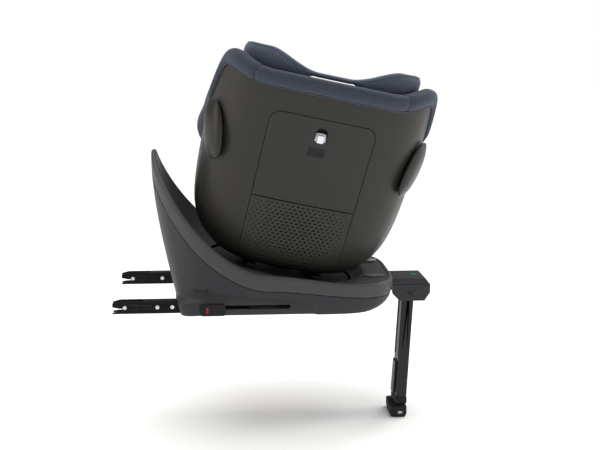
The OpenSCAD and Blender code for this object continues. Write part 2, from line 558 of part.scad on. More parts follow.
// Hook between the cheeks; it swings on the front rivet and closes over the vehicle bar
module latch_hook() {
    color("silver") difference() {
        union() {
            translate([-318, 3, arm_mid]) rotate([90, 0, 0]) cylinder(r = 6.5, h = 6);
            box([-318, -3, arm_mid - 3], [-300, 3, arm_mid + 5]);
            box([-336, -3, arm_mid + 1.6], [-318, 3, arm_mid + 6.5]);
        }
        translate([-318, 10, arm_mid]) rotate([90, 0, 0]) cylinder(r = 2.56, h = 20);
        translate([arm_tip + 18, 20, arm_mid - 5]) rotate([90, 0, 0]) cylinder(r = 5, h = 40);
    }
}
module latch_hook_left() { translate([0, latch_y, 0]) latch_hook(); }
module latch_hook_right() { mirror([0, 1, 0]) latch_hook_left(); }
// Slide grip outside the base, joined to the arm through the side slot
module latch_grip() {
    color([0.2, 0.2, 0.2]) translate([0, latch_y, 0]) difference() {
        union() {
            translate([-139.5, 42.6, 14]) rotate([90, 0, 0]) slab(50, 23, 4.6, 5);
            box([-134, 9.2, arm_mid - 1.2], [-120, 40, arm_mid + 4.8]);
        }
        box([-160.4, 36, 5.8], [-141.6, 50, 22.2]);
    }
}
module latch_grip_left() { latch_grip(); }
module latch_grip_right() { mirror([0, 1, 0]) latch_grip(); }
module latch_release() {
    color([0.5, 0.08, 0.1]) translate([0, latch_y, 0]) box([-160, 39.4, 6.2], [-142, 43.4, 21.8]);
}
module latch_release_left() { latch_release(); }
module latch_release_right() { mirror([0, 1, 0]) latch_release(); }

// ---- leg bracket and leg ----
module leg_bracket_cover() {
    color([0.23, 0.23, 0.22]) difference() {
        hull() {
            box([246, -45, 31.6], [322, 45, 34]);
            box([246, -42, 34], [316, 42, 43]);
            translate([318, 0, 33]) cube([12, 84, 2.8], center = true);
        }
        translate([298, 4, 41]) cylinder(r = 6, h = 4);
    }
}
module install_indicator() { color([0.05, 0.5, 0.35]) translate([298, 4, 41.2]) cylinder(r = 5.6, h = 2.2); }
module leg_bracket_housing() {
    color([0.2, 0.2, 0.2]) difference() {
        union() {
            for (s = [-1, 1]) translate([0, s * 38.5 + 5.5, 0]) rotate([90, 0, 0]) linear_extrude(11)
                polygon([[246, 10], [262, -6], [316, -6], [328, 12], [328, 31], [246, 31]]);
            box([246, -33, 26.5], [328, 33, 31]);
            box([312, -33, -6], [320, 33, 26.5]);
        }
        translate([leg_x, 60, leg_pin_z]) rotate([90, 0, 0]) cylinder(r = leg_pin_r + 0.02, h = 120);
    }
}
module leg_hinge_pin() { color("silver") translate([leg_x, 43, leg_pin_z]) rotate([90, 0, 0]) cylinder(r = leg_pin_r, h = 86); }

module leg_frame() { translate([leg_x, 0, leg_pin_z]) rotate([0, leg_lean, 0]) children(); }
leg_end = -238;
module leg_outer_tube() {
    color([0.17, 0.17, 0.17]) leg_frame() difference() {
        union() {
            box([-leg_d / 2, -leg_w / 2, leg_end], [leg_d / 2, leg_w / 2, 0]);
            translate([0, leg_w / 2, 0]) rotate([90, 0, 0]) cylinder(r = leg_d / 2, h = leg_w);
        }
        box([-leg_d / 2 + 2.6, -leg_w / 2 + 3, leg_end - 1], [leg_d / 2 - 2.6, leg_w / 2 - 3, -16]);
        translate([0, 60, 0]) rotate([90, 0, 0]) cylinder(r = leg_pin_r + 0.05, h = 120);
    }
}
module leg_inner_tube() {
    color([0.15, 0.15, 0.15]) leg_frame() difference() {
        box([-leg_d / 2 + 3, -leg_w / 2 + 3.4, -250], [leg_d / 2 - 3, leg_w / 2 - 3.4, -24]);
        box([-leg_d / 2 + 5, -leg_w / 2 + 5.4, -251], [leg_d / 2 - 5, leg_w / 2 - 5.4, -23]);
    }
}
module leg_lever() {
    color([0.14, 0.14, 0.14]) leg_frame() {
        box([-leg_d / 2 - 5, -17, -234], [-leg_d / 2 - 1.5, 17, -162]);
        box([-leg_d / 2 - 5, -17, -170], [-leg_d / 2 - 1.1, 17, -162]);
    }
}
module leg_foot() {
    color([0.13, 0.13, 0.13]) difference() {
        union() {
            translate([264, 0, sole_z]) hull() { slab(32, 76, 2, 8); translate([0, 0, 9]) slab(35, 88, 14, 8); }
            leg_frame() box([-leg_d / 2 - 1, -leg_w / 2 - 1, -252], [leg_d / 2 + 1, leg_w / 2 + 1, leg_end - 0.5]);
        }
        leg_frame() box([-leg_d / 2 + 3, -leg_w / 2 + 3.4, -250], [leg_d / 2 - 3, leg_w / 2 - 3.4, -20]);
    }
}
module control_panel() {
    color([0.33, 0.33, 0.32]) translate([202, -78, rim_low - 1.6]) scale([1, 0.62, 1]) cylinder(r = 24, h = 1.4);
}
module swivel_button() {
    color([0.62, 0.63, 0.62]) translate([204, 78, rim_low - 0.2]) scale([1, 0.62, 1]) cylinder(r = 22, h = 3.6);
}
module base_screws() {
    color("silver") for (x = [-150, 0, 150], s = [-1, 1]) translate([x, s * 80, base_t * 0.7 + 0.05]) cylinder(r = 4, h = 1.6, $fn = 24);
}

base_lower_casing();
base_upper_casing();
base_chassis();
swivel_pedestal();
bearing_ring_lower();
swivel_axle();
swivel_nut();
latch_channel_left();
latch_channel_right();
leg_bracket_cover();
leg_bracket_housing();
leg_hinge_pin();
install_indicator();
control_panel();
base_screws();
swivel_button();
latch_arm_left();
latch_arm_right();
latch_rivets_left();
latch_rivets_right();
latch_grip_left();
latch_grip_right();
latch_hook_left();
latch_hook_right();
latch_release_left();
latch_release_right();
turntable_disc();
bearing_ring_upper();
recline_guides();
outer_shell();
shell_runners();
foam_liner();
vent_grille();
storage_tray();
edge_trim();
back_pad();
seat_pad();
front_pad();
side_pad_left();
side_pad_right();
pod_sockets();
harness_straps();
harness_buckle();
crotch_strap();
adjuster_housing();
adjuster_strap();
storage_door();
door_latch();
headrest_shell();
headrest_pad();
headrest_lever();
side_pod_left();
side_pod_right();
buckle_button();
adjuster_button();
recline_handle();
leg_outer_tube();
leg_inner_tube();
leg_lever();
leg_foot();
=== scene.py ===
"""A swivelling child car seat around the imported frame: moulded shell, padded covers, base and leg."""
import math

import bmesh
import bpy
import numpy as np
from bpy.props import FloatProperty, FloatVectorProperty
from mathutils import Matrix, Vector


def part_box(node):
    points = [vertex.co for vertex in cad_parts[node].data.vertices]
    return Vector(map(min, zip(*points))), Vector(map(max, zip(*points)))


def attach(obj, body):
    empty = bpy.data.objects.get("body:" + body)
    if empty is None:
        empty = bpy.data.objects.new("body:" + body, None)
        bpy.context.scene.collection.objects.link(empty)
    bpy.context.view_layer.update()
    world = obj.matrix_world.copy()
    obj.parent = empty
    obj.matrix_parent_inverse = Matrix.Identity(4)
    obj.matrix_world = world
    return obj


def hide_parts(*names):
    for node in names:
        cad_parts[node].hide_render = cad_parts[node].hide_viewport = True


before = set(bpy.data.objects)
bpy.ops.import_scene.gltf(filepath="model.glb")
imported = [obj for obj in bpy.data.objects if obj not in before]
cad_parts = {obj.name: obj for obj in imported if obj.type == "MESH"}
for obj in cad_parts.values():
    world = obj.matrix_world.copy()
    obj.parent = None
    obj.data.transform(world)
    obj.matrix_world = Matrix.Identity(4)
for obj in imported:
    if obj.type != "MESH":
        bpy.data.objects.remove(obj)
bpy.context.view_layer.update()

bl_info = {
    "name": "Swivelling car seat",
    "version": (1, 0, 0),
    "blender": (4, 5, 0),
    "location": "View3D > Sidebar > Car seat",
    "description": "Builds the shell, covers, base, arms and leg of a swivelling child car seat",
    "category": "Add Mesh",
}

# ---------------------------------------------------------------- sizes, in millimetres and degrees
MM = 0.001
SWIVEL_X, SWIVEL_Z, TILT = 8.0, 77.0, 12.0
SHELL_HALF_W, BACK_RIM, FRONT_RIM, LEAN = 209.0, 378.0, 138.0, 24.0
SHELL_T = 3.6
PANEL_HALF, PANEL_LOW, PANEL_MID, PANEL_TOP = 105.5, 28.0, 157.0, 336.0
RECLINE_R, RECLINE_Y = 450.0, -60.0
BASE_XC, BASE_HALF_W, BASE_T, RIM_LOW, TAIL_RISE, WELL_R = -5.0, 184.0, 3.2, 60.0, 238.0, 156.0
COS_T, SIN_T = math.cos(math.radians(TILT)), math.sin(math.radians(TILT))
TAN_LEAN = math.tan(math.radians(LEAN))


# ---------------------------------------------------------------- arithmetic
def ss(a, b, x):
    """Smooth step: 0 below a, 1 above b, 3t^2 - 2t^3 between."""
    t = np.clip((np.asarray(x, float) - a) / (b - a), 0, 1)
    return t * t * (3 - 2 * t)


def mix(a, b, t):
    """a at t = 0, b at t = 1, straight between."""
    return a + (b - a) * t


def pts(*xyz):
    """Stacks coordinates that broadcast together into points."""
    return np.stack(np.broadcast_arrays(*[np.asarray(c, float) for c in xyz]), -1)


def unit(v):
    """v divided by its length."""
    return v / np.maximum(np.linalg.norm(v, axis=-1, keepdims=True), 1e-9)


def from_seat(p):
    """Seat frame to row frame: a turn of TILT about +Y, then the shift to the swivel centre."""
    return pts(SWIVEL_X + p[..., 0] * COS_T + p[..., 2] * SIN_T, p[..., 1],
               SWIVEL_Z - p[..., 0] * SIN_T + p[..., 2] * COS_T)


def to_seat(p):
    """Row frame to seat frame, the inverse of from_seat."""
    x, z = p[..., 0] - SWIVEL_X, p[..., 2] - SWIVEL_Z
    return pts(x * COS_T - z * SIN_T, p[..., 1], x * SIN_T + z * COS_T)


def fold(p):
    """Angle folded to 0..180 degrees."""
    return np.abs((np.asarray(p, float) + 180) % 360 - 180)


def cosd(a):
    """Cosine of an angle in degrees."""
    return np.cos(np.radians(a))


def sind(a):
    """Sine of an angle in degrees."""
    return np.sin(np.radians(a))


def wave(*p, seed=0):
    """Soft unevenness of about unit height: a sum of eight sines with fixed directions."""
    rng = np.random.default_rng(seed)
    out = 0
    for _ in range(8):
        k = rng.normal(size=len(p))
        k = k / np.linalg.norm(k) * rng.uniform(0.6, 2.2)
        out = out + np.sin(sum(c * w for c, w in zip(p, k)) + rng.uniform(0, 6.28))
    return out / 4


def super_r(c, s, n):
    """Radius of the superellipse of power n towards the direction (c, s)."""
    return (np.abs(c) ** n + np.abs(s) ** n) ** (-1 / n)


def circle(n):
    """Cosines and sines of n angles spread evenly round a circle."""
    t = np.linspace(0, 2 * math.pi, n, endpoint=False)
    return np.cos(t), np.sin(t)


# ---------------------------------------------------------------- the bucket surface
def half_w(v):
    """Half width: full width less a share that fades upwards from the seat."""
    return SHELL_HALF_W - 94 * np.exp(-v / 46)


def mid_y(v):
    """Middle line, leaning back by LEAN."""
    return -TAN_LEAN * v


def back_d(v):
    """Depth behind the middle line, drawn in near the floor."""
    return 130 - 45 * np.exp(-v / 15)


def front_d(v):
    """Depth in front of the middle line, growing evenly with height."""
    return 140 + 1.145 * v


def rim_v(p):
    """Height of the rim round the plan angle p, 0 at the middle of the back."""
    q = fold(p)
    return (BACK_RIM + 22 * ss(35, 68, q) - 85 * ss(68, 98, q) - 105 * ss(90, 128, q)
            - (BACK_RIM - 168 - FRONT_RIM) * ss(118, 165, q))


def plan_r(p):
    """Unit superellipse, of power 2.5 behind and 3.2 in front."""
    return super_r(cosd(p), sind(p), np.where(cosd(p) > 0, 2.5, 3.2))


def flare(p):
    """Extra width of the arms, rising and falling smoothly in front of the swivel axis."""
    q = fold(p)
    return 12 * ss(66, 104, q) * (1 - ss(126, 160, q))


def wall_pt(p, v, d):
    """Point of the wall at plan angle p and height v, d inside the outer face."""
    r, w = plan_r(p), half_w(v)
    k = np.where(cosd(p) > 0, back_d(v), front_d(v))
    x = (w - d) * r * sind(p) + np.sign(sind(p)) * flare(p) * w / SHELL_HALF_W
    return pts(x, mid_y(v) - (k - d) * r * cosd(p), v)


def x_angle(x, v):
    """Plan angle whose point on the back lies x across at height v."""
    t = np.clip(x / half_w(v), -0.999, 0.999)
    return np.degrees(np.arctan2(t, (1 - np.abs(t) ** 2.5) ** 0.4))


def panel_pt(x, v, d):
    """Point of the back, x across and v up, d inside the outer face, in the row frame."""
    return from_seat(wall_pt(x_angle(x, v), v, d))


def on_panel(q, d):
    """Points of the back for a loop of (x, v) pairs, d inside the outer face."""
    return panel_pt(q[:, 0], q[:, 1], d)


def rocker_v(y):
    """Underside arc about the recline axis."""
    return RECLINE_R - np.sqrt(RECLINE_R ** 2 - (y - RECLINE_Y) ** 2)


def chine_v(p):
    """Height at which the floor meets the wall, low behind and high in front."""
    return 6 + 76 * ((1 - cosd(p)) / 2) ** 3


def floor_pt(p, k, d):
    """Point of the floor, a share k of the way out from its middle to the chine."""
    low = chine_v(p) + 0.9 * d
    c = wall_pt(p, low, d)
    y = mix(-10, c[..., 1], k)
    z = 1.01 * d + rocker_v(y) + (c[..., 2] - 1.01 * d - rocker_v(c[..., 1])) * k ** 4
    return pts(c[..., 0] * k, y, z)


PATCH_K = 1.12
PATCH_V = (16.0, 348.0)


def bucket_cols(n_panel=37, n_side=60):
    """Columns round the bucket: nominal angle, and the panel share k or the side share w with its side."""
    k = np.linspace(-PATCH_K, PATCH_K, n_panel)
    w = np.linspace(0, 1, n_side + 1)[1:]
    kind = np.concatenate([np.zeros(n_panel), np.ones(n_side), -np.ones(n_side - 1)])
    share = np.concatenate([k, w, w[-2::-1]])
    p0 = np.where(kind == 0, 30 * share, mix(30 * PATCH_K, 180, share))
    return kind, share, np.where(kind < 0, 360 - p0, p0)


def col_angle(kind, share, v):
    """True plan angle of a column at height v: constant width over the panel, spread evenly beyond."""
    edge = x_angle(PATCH_K * PANEL_HALF, v)
    side = mix(edge, 180, share)
    return np.where(kind == 0, x_angle(share * PANEL_HALF, v), np.where(kind > 0, side, 360 - side))


def bucket_grid(floor_k, wall_t, d, top=0.0, cols=None):
    """Rows of the bucket from its middle to the rim: floor shares, then wall shares; d may vary."""
    kind, share, p0 = cols if cols is not None else bucket_cols()
    d_floor = d if np.isscalar(d) else d[:len(floor_k)]
    d_wall = d if np.isscalar(d) else d[len(floor_k):]
    kk = np.asarray(floor_k, float)[:, None]
    low_f = chine_v(p0)[None, :] + 0.9 * d_floor
    floor = floor_pt(col_angle(kind[None], share[None], low_f), kk, d_floor)
    low = chine_v(p0)[None, :] + 0.9 * d_wall
    v = mix(low, rim_v(p0)[None, :] + top, np.asarray(wall_t, float)[:, None])
    wall = wall_pt(col_angle(kind[None], share[None], v), v, d_wall)
    return np.concatenate([floor, wall]), v


# ---------------------------------------------------------------- meshes
def new_mesh(name, verts, faces, uv=None, merge=0.0, smooth=True, sharp=32.0, inside=None, flip=None):
    """Object of that name from points in millimetres and a list of face index arrays."""
    me = bpy.data.meshes.new(name)
    rows = [f for a in faces for f in np.asarray(a).tolist()]
    me.from_pydata((np.asarray(verts, float) * MM).tolist(), [], rows)
    if uv is not None:
        layer = me.uv_layers.new(name="UVMap")
        idx = np.empty(len(me.loops), int)
        me.loops.foreach_get("vertex_index", idx)
        layer.data.foreach_set("uv", np.asarray(uv, float)[idx].ravel())
    bm = bmesh.new()
    bm.from_mesh(me)
    if merge:
        bmesh.ops.remove_doubles(bm, verts=bm.verts, dist=merge * MM)
    loose = [v for v in bm.verts if not v.link_faces]
    bmesh.ops.delete(bm, geom=loose, context="VERTS")
    bmesh.ops.recalc_face_normals(bm, faces=bm.faces)
    if inside is not None:
        c = Vector(np.asarray(inside, float) * MM)
        out = sum(f.normal.dot(f.calc_center_median() - c) * f.calc_area() for f in bm.faces)
        if (out < 0) != bool(flip):
            bmesh.ops.reverse_faces(bm, faces=bm.faces)
    bm.to_mesh(me)
    bm.free()
    me.update()
    if smooth:
        me.shade_smooth()
        me.set_sharp_from_angle(angle=math.radians(sharp))
    obj = bpy.data.objects.new(name, me)
    bpy.context.scene.collection.objects.link(obj)
    return obj


def quads(ni, nj, wrap=False, wrap_i=False, start=0, keep=None):
    """Faces of a grid of ni rows and nj columns, as an array of four indices each."""
    i = np.arange(ni if wrap_i else ni - 1)[:, None]
    j = np.arange(nj if wrap else nj - 1)[None]
    i2, j2 = (i + 1) % ni, (j + 1) % nj
    f = np.stack(np.broadcast_arrays(i * nj + j, i * nj + j2, i2 * nj + j2, i2 * nj + j), -1) + start
    return f[keep] if keep is not None else f.reshape(-1, 4)


def fan(loop, centre):
    """Triangles from a loop of indices to a centre index."""
    a = np.asarray(loop)
    return np.stack([a, np.roll(a, -1), np.full(len(a), centre)], -1)


def capped(loops, start=0):
    """Points and faces of a skin through the loops, both ends closed by fans, numbered from start."""
    n, m = loops.shape[:2]
    v = np.concatenate([loops.reshape(-1, 3), loops[0].mean(0)[None], loops[-1].mean(0)[None]])
    return v, [quads(n, m, wrap=True, start=start), fan(np.arange(m) + start, n * m + start),
               fan(np.arange((n - 1) * m, n * m) + start, n * m + 1 + start)]


def tube_mesh(name, loops, ring=False, **kw):
    """Closed skin through loops[i][j]: the last loop meets the first in a ring, else the ends are capped."""
    if ring:
        return new_mesh(name, loops.reshape(-1, 3), [quads(*loops.shape[:2], wrap=True, wrap_i=True)], **kw)
    return new_mesh(name, *capped(loops), **kw)


def modifier(obj, kind, **kw):
    m = obj.modifiers.new(kind.title(), kind)
    for k, val in kw.items():
        setattr(m, k, val)
    return m


def wall_thickness(obj, t):
    """Solidify inwards by t millimetres."""
    modifier(obj, "SOLIDIFY", thickness=t * MM, offset=-1, use_even_offset=True)


def place(obj, body, mat, nodes=()):
    """Gives the piece its material and body, and hides the nodes it stands for."""
    obj.data.materials.clear()
    obj.data.materials.append(MATS[mat])
    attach(obj, body)
    if nodes:
        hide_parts(*nodes)
    return obj


def sweep(path, width, thick, across=(1, 0, 0), rim=0.35):
    """Webbing: a flat section with rounded edges carried along a path, across fixed."""
    path = np.asarray(path, float)
    seg = np.r_[0, np.cumsum(np.linalg.norm(np.diff(path, axis=0), axis=1))]
    s = np.linspace(0, seg[-1], max(8, int(seg[-1] / 4)))
    c = np.stack([smooth_interp(seg, path[:, k], s) for k in range(3)], -1)
    d = unit(np.gradient(c, axis=0))
    a = np.broadcast_to(np.asarray(across, float), c.shape)
    a = unit(a - (a * d).sum(-1, keepdims=True) * d)
    n = np.cross(a, d)
    half = width / 2
    sec = np.array([[-1, 0], [-1 + rim / 6, -1], [-0.5, -1], [0, -1], [0.5, -1], [1 - rim / 6, -1], [1, 0],
                    [1 - rim / 6, 1], [0.5, 1], [0, 1], [-0.5, 1], [-1 + rim / 6, 1]])
    loops = (c[:, None] + sec[None, :, :1] * half * a[:, None] + sec[None, :, 1:] * thick / 2 * n[:, None])
    u = np.broadcast_to(sec[None, :, 0] * half, (len(s), 12))
    uv = np.stack([u, np.broadcast_to(s[:, None], u.shape)], -1).reshape(-1, 2)
    return loops, np.concatenate([uv, [[0, 0], [0, s[-1]]]])


def smooth_interp(x, y, s):
    """Cubic Hermite interpolation of y(x) at s, with slopes from neighbouring differences."""
    m = np.gradient(y, x)
    i = np.clip(np.searchsorted(x, s) - 1, 0, len(x) - 2)
    h = x[i + 1] - x[i]
    t = (s - x[i]) / h
    return ((2 * t ** 3 - 3 * t ** 2 + 1) * y[i] + (t ** 3 - 2 * t ** 2 + t) * h * m[i]
            + (3 * t ** 2 - 2 * t ** 3) * y[i + 1] + (t ** 3 - t ** 2) * h * m[i + 1])


# ---------------------------------------------------------------- materials
def srgb(*c):
    """Colour given as 0..255 display values, as linear values with alpha 1."""
    c = np.asarray(c, float) / 255
    lin = np.where(c <= 0.04045, c / 12.92, ((c + 0.055) / 1.055) ** 2.4)
    return (*[float(x) for x in lin], 1.0)


BLACK, WHITE = (0, 0, 0, 1), (1, 1, 1, 1)


def shade(colour, k, add=0.0):
    """Colour times k plus a little, kept at or below 1, with alpha 1."""
    return tuple(min(1, k * c + add) for c in colour[:3]) + (1,)


class Nodes:
    """Short calls to build one node material."""

    def __init__(self, name, **sockets):
        self.mat = bpy.data.materials.new(name)
        self.mat.use_nodes = True
        self.tree = self.mat.node_tree
        self.bsdf = self.tree.nodes["Principled BSDF"]
        for key, val in sockets.items():
            self.bsdf.inputs[key.replace("_", " ")].default_value = val

    def add(self, kind, links=None, props=None, **values):
        n = self.tree.nodes.new(kind)
        for k, v in (props or {}).items():
            setattr(n, k, v)
        for k, v in values.items():
            n.inputs[k.replace("_", " ")].default_value = v
        for k, v in (links or {}).items():
            self.tree.links.new(v, n.inputs[k])
        return n

    def coords(self, kind="Object", scale=(1, 1, 1), turn=(0, 0, 0)):
        c = self.add("ShaderNodeTexCoord")
        return self.add("ShaderNodeMapping", {"Vector": c.outputs[kind]}, Scale=scale, Rotation=turn).outputs[0]

    def noise(self, vec, scale, detail=3.0, rough=0.5):
        n = self.add("ShaderNodeTexNoise", {"Vector": vec}, Scale=scale, Detail=detail, Roughness=rough)
        return n.outputs["Fac"]

    def bands(self, vec, way, **values):
        n = self.add("ShaderNodeTexWave", {"Vector": vec}, props={"bands_direction": way}, **values)
        return n.outputs["Fac"]

    def worn(self, low, high):
        """Mask of the rubbed edges: 0 below one pointiness, 1 above the other."""
        point = self.add("ShaderNodeNewGeometry").outputs["Pointiness"]
        return self.ramp(point, [(low, BLACK), (high, WHITE)])

    def ramp(self, fac, stops):
        n = self.add("ShaderNodeValToRGB", {"Fac": fac})
        el = n.color_ramp.elements
        while len(el) < len(stops):
            el.new(0.5)
        for e, (pos, col) in zip(el, stops):
            e.position, e.color = pos, col
        return n.outputs["Color"]

    def math(self, op, a, b=None, clamp=False):
        n = self.add("ShaderNodeMath", props={"operation": op, "use_clamp": clamp})
        for i, v in enumerate((a, b)):
            if v is None:
                continue
            if isinstance(v, (int, float)):
                n.inputs[i].default_value = v
            else:
                self.tree.links.new(v, n.inputs[i])
        return n.outputs[0]

    def blend(self, fac, a, b):
        n = self.add("ShaderNodeMix", props={"data_type": "RGBA"})
        for i, v in ((0, fac), (6, a), (7, b)):
            if hasattr(v, "links"):
                self.tree.links.new(v, n.inputs[i])
            else:
                n.inputs[i].default_value = v
        return n.outputs[2]

    def span(self, fac, lo, hi):
        return self.add("ShaderNodeMapRange", {"Value": fac}, To_Min=lo, To_Max=hi).outputs[0]

    def bump(self, height, distance, strength=1.0, under=None):
        links = {"Height": height}
        if under is not None:
            links["Normal"] = under
        return self.add("ShaderNodeBump", links, Distance=distance, Strength=strength).outputs[0]

    def set(self, **sockets):
        for k, v in sockets.items():
            self.tree.links.new(v, self.bsdf.inputs[k.replace("_", " ")])
        return self.mat


def moulded(name, base, rough=(0.42, 0.56), grain=0.00006, tint=1.25, scale=1500, spec=0.24):
    """Injection-moulded plastic: leather-like grain from cells, cloudy gloss, and paler worn edges."""
    m = Nodes(name, Specular_IOR_Level=spec, IOR=1.48)
    vec = m.coords()
    cells = m.add("ShaderNodeTexVoronoi", {"Vector": vec}, props={"feature": "SMOOTH_F1"},
                  Scale=scale, Smoothness=0.6).outputs["Distance"]
    fine = m.noise(vec, scale * 1.7, 2.0)
    cloud = m.noise(vec, 9.0, 4.0, 0.6)
    pale = shade(base, tint)
    col = m.ramp(cloud, [(0.3, shade(base, 1 / tint)), (0.7, pale)])
    col = m.blend(m.span(fine, 0.0, 0.35), col, pale)
    scuff = m.math("MULTIPLY", m.worn(0.53, 0.6), m.span(m.noise(vec, 60.0, 3.0), 0.1, 0.75))
    col = m.blend(scuff, col, shade(base, 2.1, 0.01))
    rough_out = m.math("ADD", m.span(cloud, *rough), m.math("MULTIPLY", fine, 0.06))
    height = m.math("ADD", cells, m.math("MULTIPLY", fine, 0.5))
    return m.set(Base_Color=col, Roughness=rough_out, Normal=m.bump(height, grain))


def knit(name, base, light, scale=950, sheen=0.35):
    """Fine knitted cover: rows of small loops, flecks of paler yarn, soft sheen and slight pilling."""
    m = Nodes(name, Roughness=0.92, Specular_IOR_Level=0.25, Sheen_Weight=sheen, Sheen_Roughness=0.45,
              Sheen_Tint=(0.6, 0.65, 0.8, 1))
    vec = m.coords()
    a, b, c = (m.bands(vec, way, Scale=scale, Distortion=1.5, Detail=1.0) for way in "ZXY")
    loops = m.math("MULTIPLY", m.math("ADD", m.math("ADD", a, b), c), 0.34)
    fleck = m.noise(vec, 700.0, 2.0, 0.7)
    cloud = m.noise(vec, 14.0, 4.0, 0.6)
    col = m.blend(m.ramp(fleck, [(0.42, BLACK), (0.62, WHITE)]), base, light)
    col = m.blend(m.span(cloud, 0.0, 0.45), col, shade(base, 0.55))
    col = m.blend(m.span(loops, 0.35, 0.0), col, shade(base, 0.45))
    return m.set(Base_Color=col, Normal=m.bump(loops, 0.00025, 0.8, under=m.bump(cloud, 0.0012, 0.35)))


def webbing(name, base, light):
    """Woven webbing: slanted ribs across and along the strap's own map, with a plain selvedge."""
    m = Nodes(name, Roughness=0.75, Specular_IOR_Level=0.35, Sheen_Weight=0.2, Sheen_Roughness=0.4)
    vec = m.coords("UV")
    a = m.bands(vec, "DIAGONAL", Scale=0.55, Distortion=0.6)
    b = m.bands(vec, "X", Scale=0.32, Distortion=0.2)
    ribs = m.math("MULTIPLY", a, m.span(b, 0.5, 1.0))
    return m.set(Base_Color=m.blend(m.span(ribs, 0.0, 0.8), base, light), Normal=m.bump(ribs, 0.0004, 0.9))


def metal(name, base, rough=(0.22, 0.4)):
    """Drawn or stamped metal: long fine streaks in roughness and bump, and small tarnish clouds."""
    m = Nodes(name, Metallic=1.0)
    s = m.noise(m.coords(scale=(8, 900, 900)), 1.0, 4.0, 0.65)
    col = m.ramp(m.noise(m.coords(), 40.0, 3.0), [(0.35, shade(base, 0.75)), (0.65, base)])
    return m.set(Base_Color=col, Roughness=m.span(s, *rough), Normal=m.bump(s, 0.00003, 0.5))


def coated(name, base, rough=(0.35, 0.55)):
    """Powder-coated steel: tiny orange-peel dimples and rubbed edges."""
    m = Nodes(name, Specular_IOR_Level=0.14)
    vec = m.coords()
    peel = m.noise(vec, 900.0, 2.0)
    rub = m.noise(vec, 35.0, 4.0, 0.7)
    edge = m.math("MULTIPLY", m.worn(0.54, 0.62), m.span(rub, 0.0, 0.5))
    col = m.blend(edge, m.ramp(rub, [(0.3, shade(base, 0.7)), (0.7, base)]), (0.06, 0.06, 0.06, 1))
    return m.set(Base_Color=col, Roughness=m.span(rub, *rough), Normal=m.bump(peel, 0.00004))


def beads(name, base):
    """Expanded foam: packed beads, each slightly different, with dark creases between."""
    m = Nodes(name, Roughness=0.85, Specular_IOR_Level=0.2)
    gap = m.add("ShaderNodeTexVoronoi", {"Vector": m.coords()}, Scale=320.0).outputs["Distance"]
    col = m.blend(m.span(gap, 0.0, 0.5), base, shade(base, 0.7))
    return m.set(Base_Color=col, Normal=m.bump(gap, -0.0006, 0.7))


MATS = {}


def make_materials():
    """All the finishes, by a maker's name. The covers take their colour from the panel."""
    cover = (*bpy.context.scene.seat_settings.cover_colour, 1.0)
    pale = shade(cover, 2.0, 0.01)
    # name: (full name, display colour, roughness range, other settings)
    plastics = {
        "shell": ("shell plastic", (43, 42, 39), (0.36, 0.46), {"tint": 1.06}),
        "door": ("door plastic", (44, 44, 42), (0.38, 0.48), {"tint": 1.05}),
        "band": ("base upper plastic", (64, 64, 66), (0.38, 0.48), {"tint": 1.06}),
        "hull": ("base lower plastic", (45, 46, 48), (0.4, 0.5), {"tint": 1.06}),
        "black": ("black plastic", (20, 20, 20), (0.38, 0.52), {}),
        "pod": ("pod plastic", (37, 36, 33), (0.26, 0.36), {"tint": 1.05}),
        "leg": ("leg plastic", (34, 34, 36), (0.36, 0.46), {}),
        "grey": ("pale grey plastic", (150, 152, 150), (0.35, 0.5), {"tint": 1.05}),
        "red": ("red plastic", (128, 18, 24), (0.3, 0.45), {"tint": 1.1}),
        "green": ("green mark", (8, 122, 94), (0.25, 0.4), {"tint": 1.1}),
        "silver_plastic": ("bright catch", (200, 203, 208), (0.15, 0.25), {"tint": 1.03, "grain": 0.00001}),
        "rubber": ("sole rubber", (30, 30, 31), (0.7, 0.85), {"scale": 900, "grain": 0.0001}),
    }
    for key, (name, colour, rough, more) in plastics.items():
        MATS[key] = moulded(name, srgb(*colour), rough, **more)
    MATS.update(
        cover=knit("cover fabric", cover, pale),
        # headrest: the cover fabric painted 1.9 times lighter, painted light standing in for the light the headrest
        # gets
        cover_head=knit("headrest fabric painted lighter", shade(cover, 1.9), shade(pale, 1.9)),
        cover_dark=knit("inner cover fabric", shade(cover, 0.88), pale),
        insert=knit("insert fabric", srgb(66, 70, 82), srgb(98, 102, 114), scale=600),
        webbing=webbing("harness webbing", srgb(30, 32, 38), srgb(66, 70, 80)),
        steel=metal("bright steel", (0.62, 0.63, 0.65, 1)),
        dark_steel=coated("black coated steel", srgb(15, 15, 14)),
        foam=beads("bead foam", srgb(214, 214, 212)),
    )


# ---------------------------------------------------------------- outlines
def round_rect(xv, box, r_low, r_top, inset=0.0):
    """Nearest point of a rounded rectangle to each outside point, drawn in by inset."""
    x0, v0, x1, v1 = box
    r = np.where(xv[..., 1] > (v0 + v1) / 2, r_top, r_low)
    c = np.stack([np.clip(xv[..., 0], x0 + r, x1 - r), np.clip(xv[..., 1], v0 + r, v1 - r)], -1)
    return c + unit(xv - c) * (r - inset)[..., None]


def rect_loop(xs, vs):
    """Closed loop round a rectangle of grid lines, anticlockwise from its lower left corner."""
    n, m = len(xs), len(vs)
    x = np.concatenate([xs, np.full(m - 2, xs[-1]), xs[::-1], np.full(m - 2, xs[0])])
    v = np.concatenate([np.full(n, vs[0]), vs[1:-1], np.full(n, vs[-1]), vs[-2:0:-1]])
    return np.stack([x, v], -1)


SHELL_WALL_T = np.concatenate([np.linspace(0, 10 / 372, 4), np.linspace(10 / 372, 342 / 372, 60)[1:],
                               np.linspace(342 / 372, 1, 8)[1:]])
SHELL_FLOOR_K = np.linspace(0.06, 1, 16)[:-1]
PANEL_BOX = (-PANEL_HALF, PANEL_LOW, PANEL_HALF, PANEL_TOP)


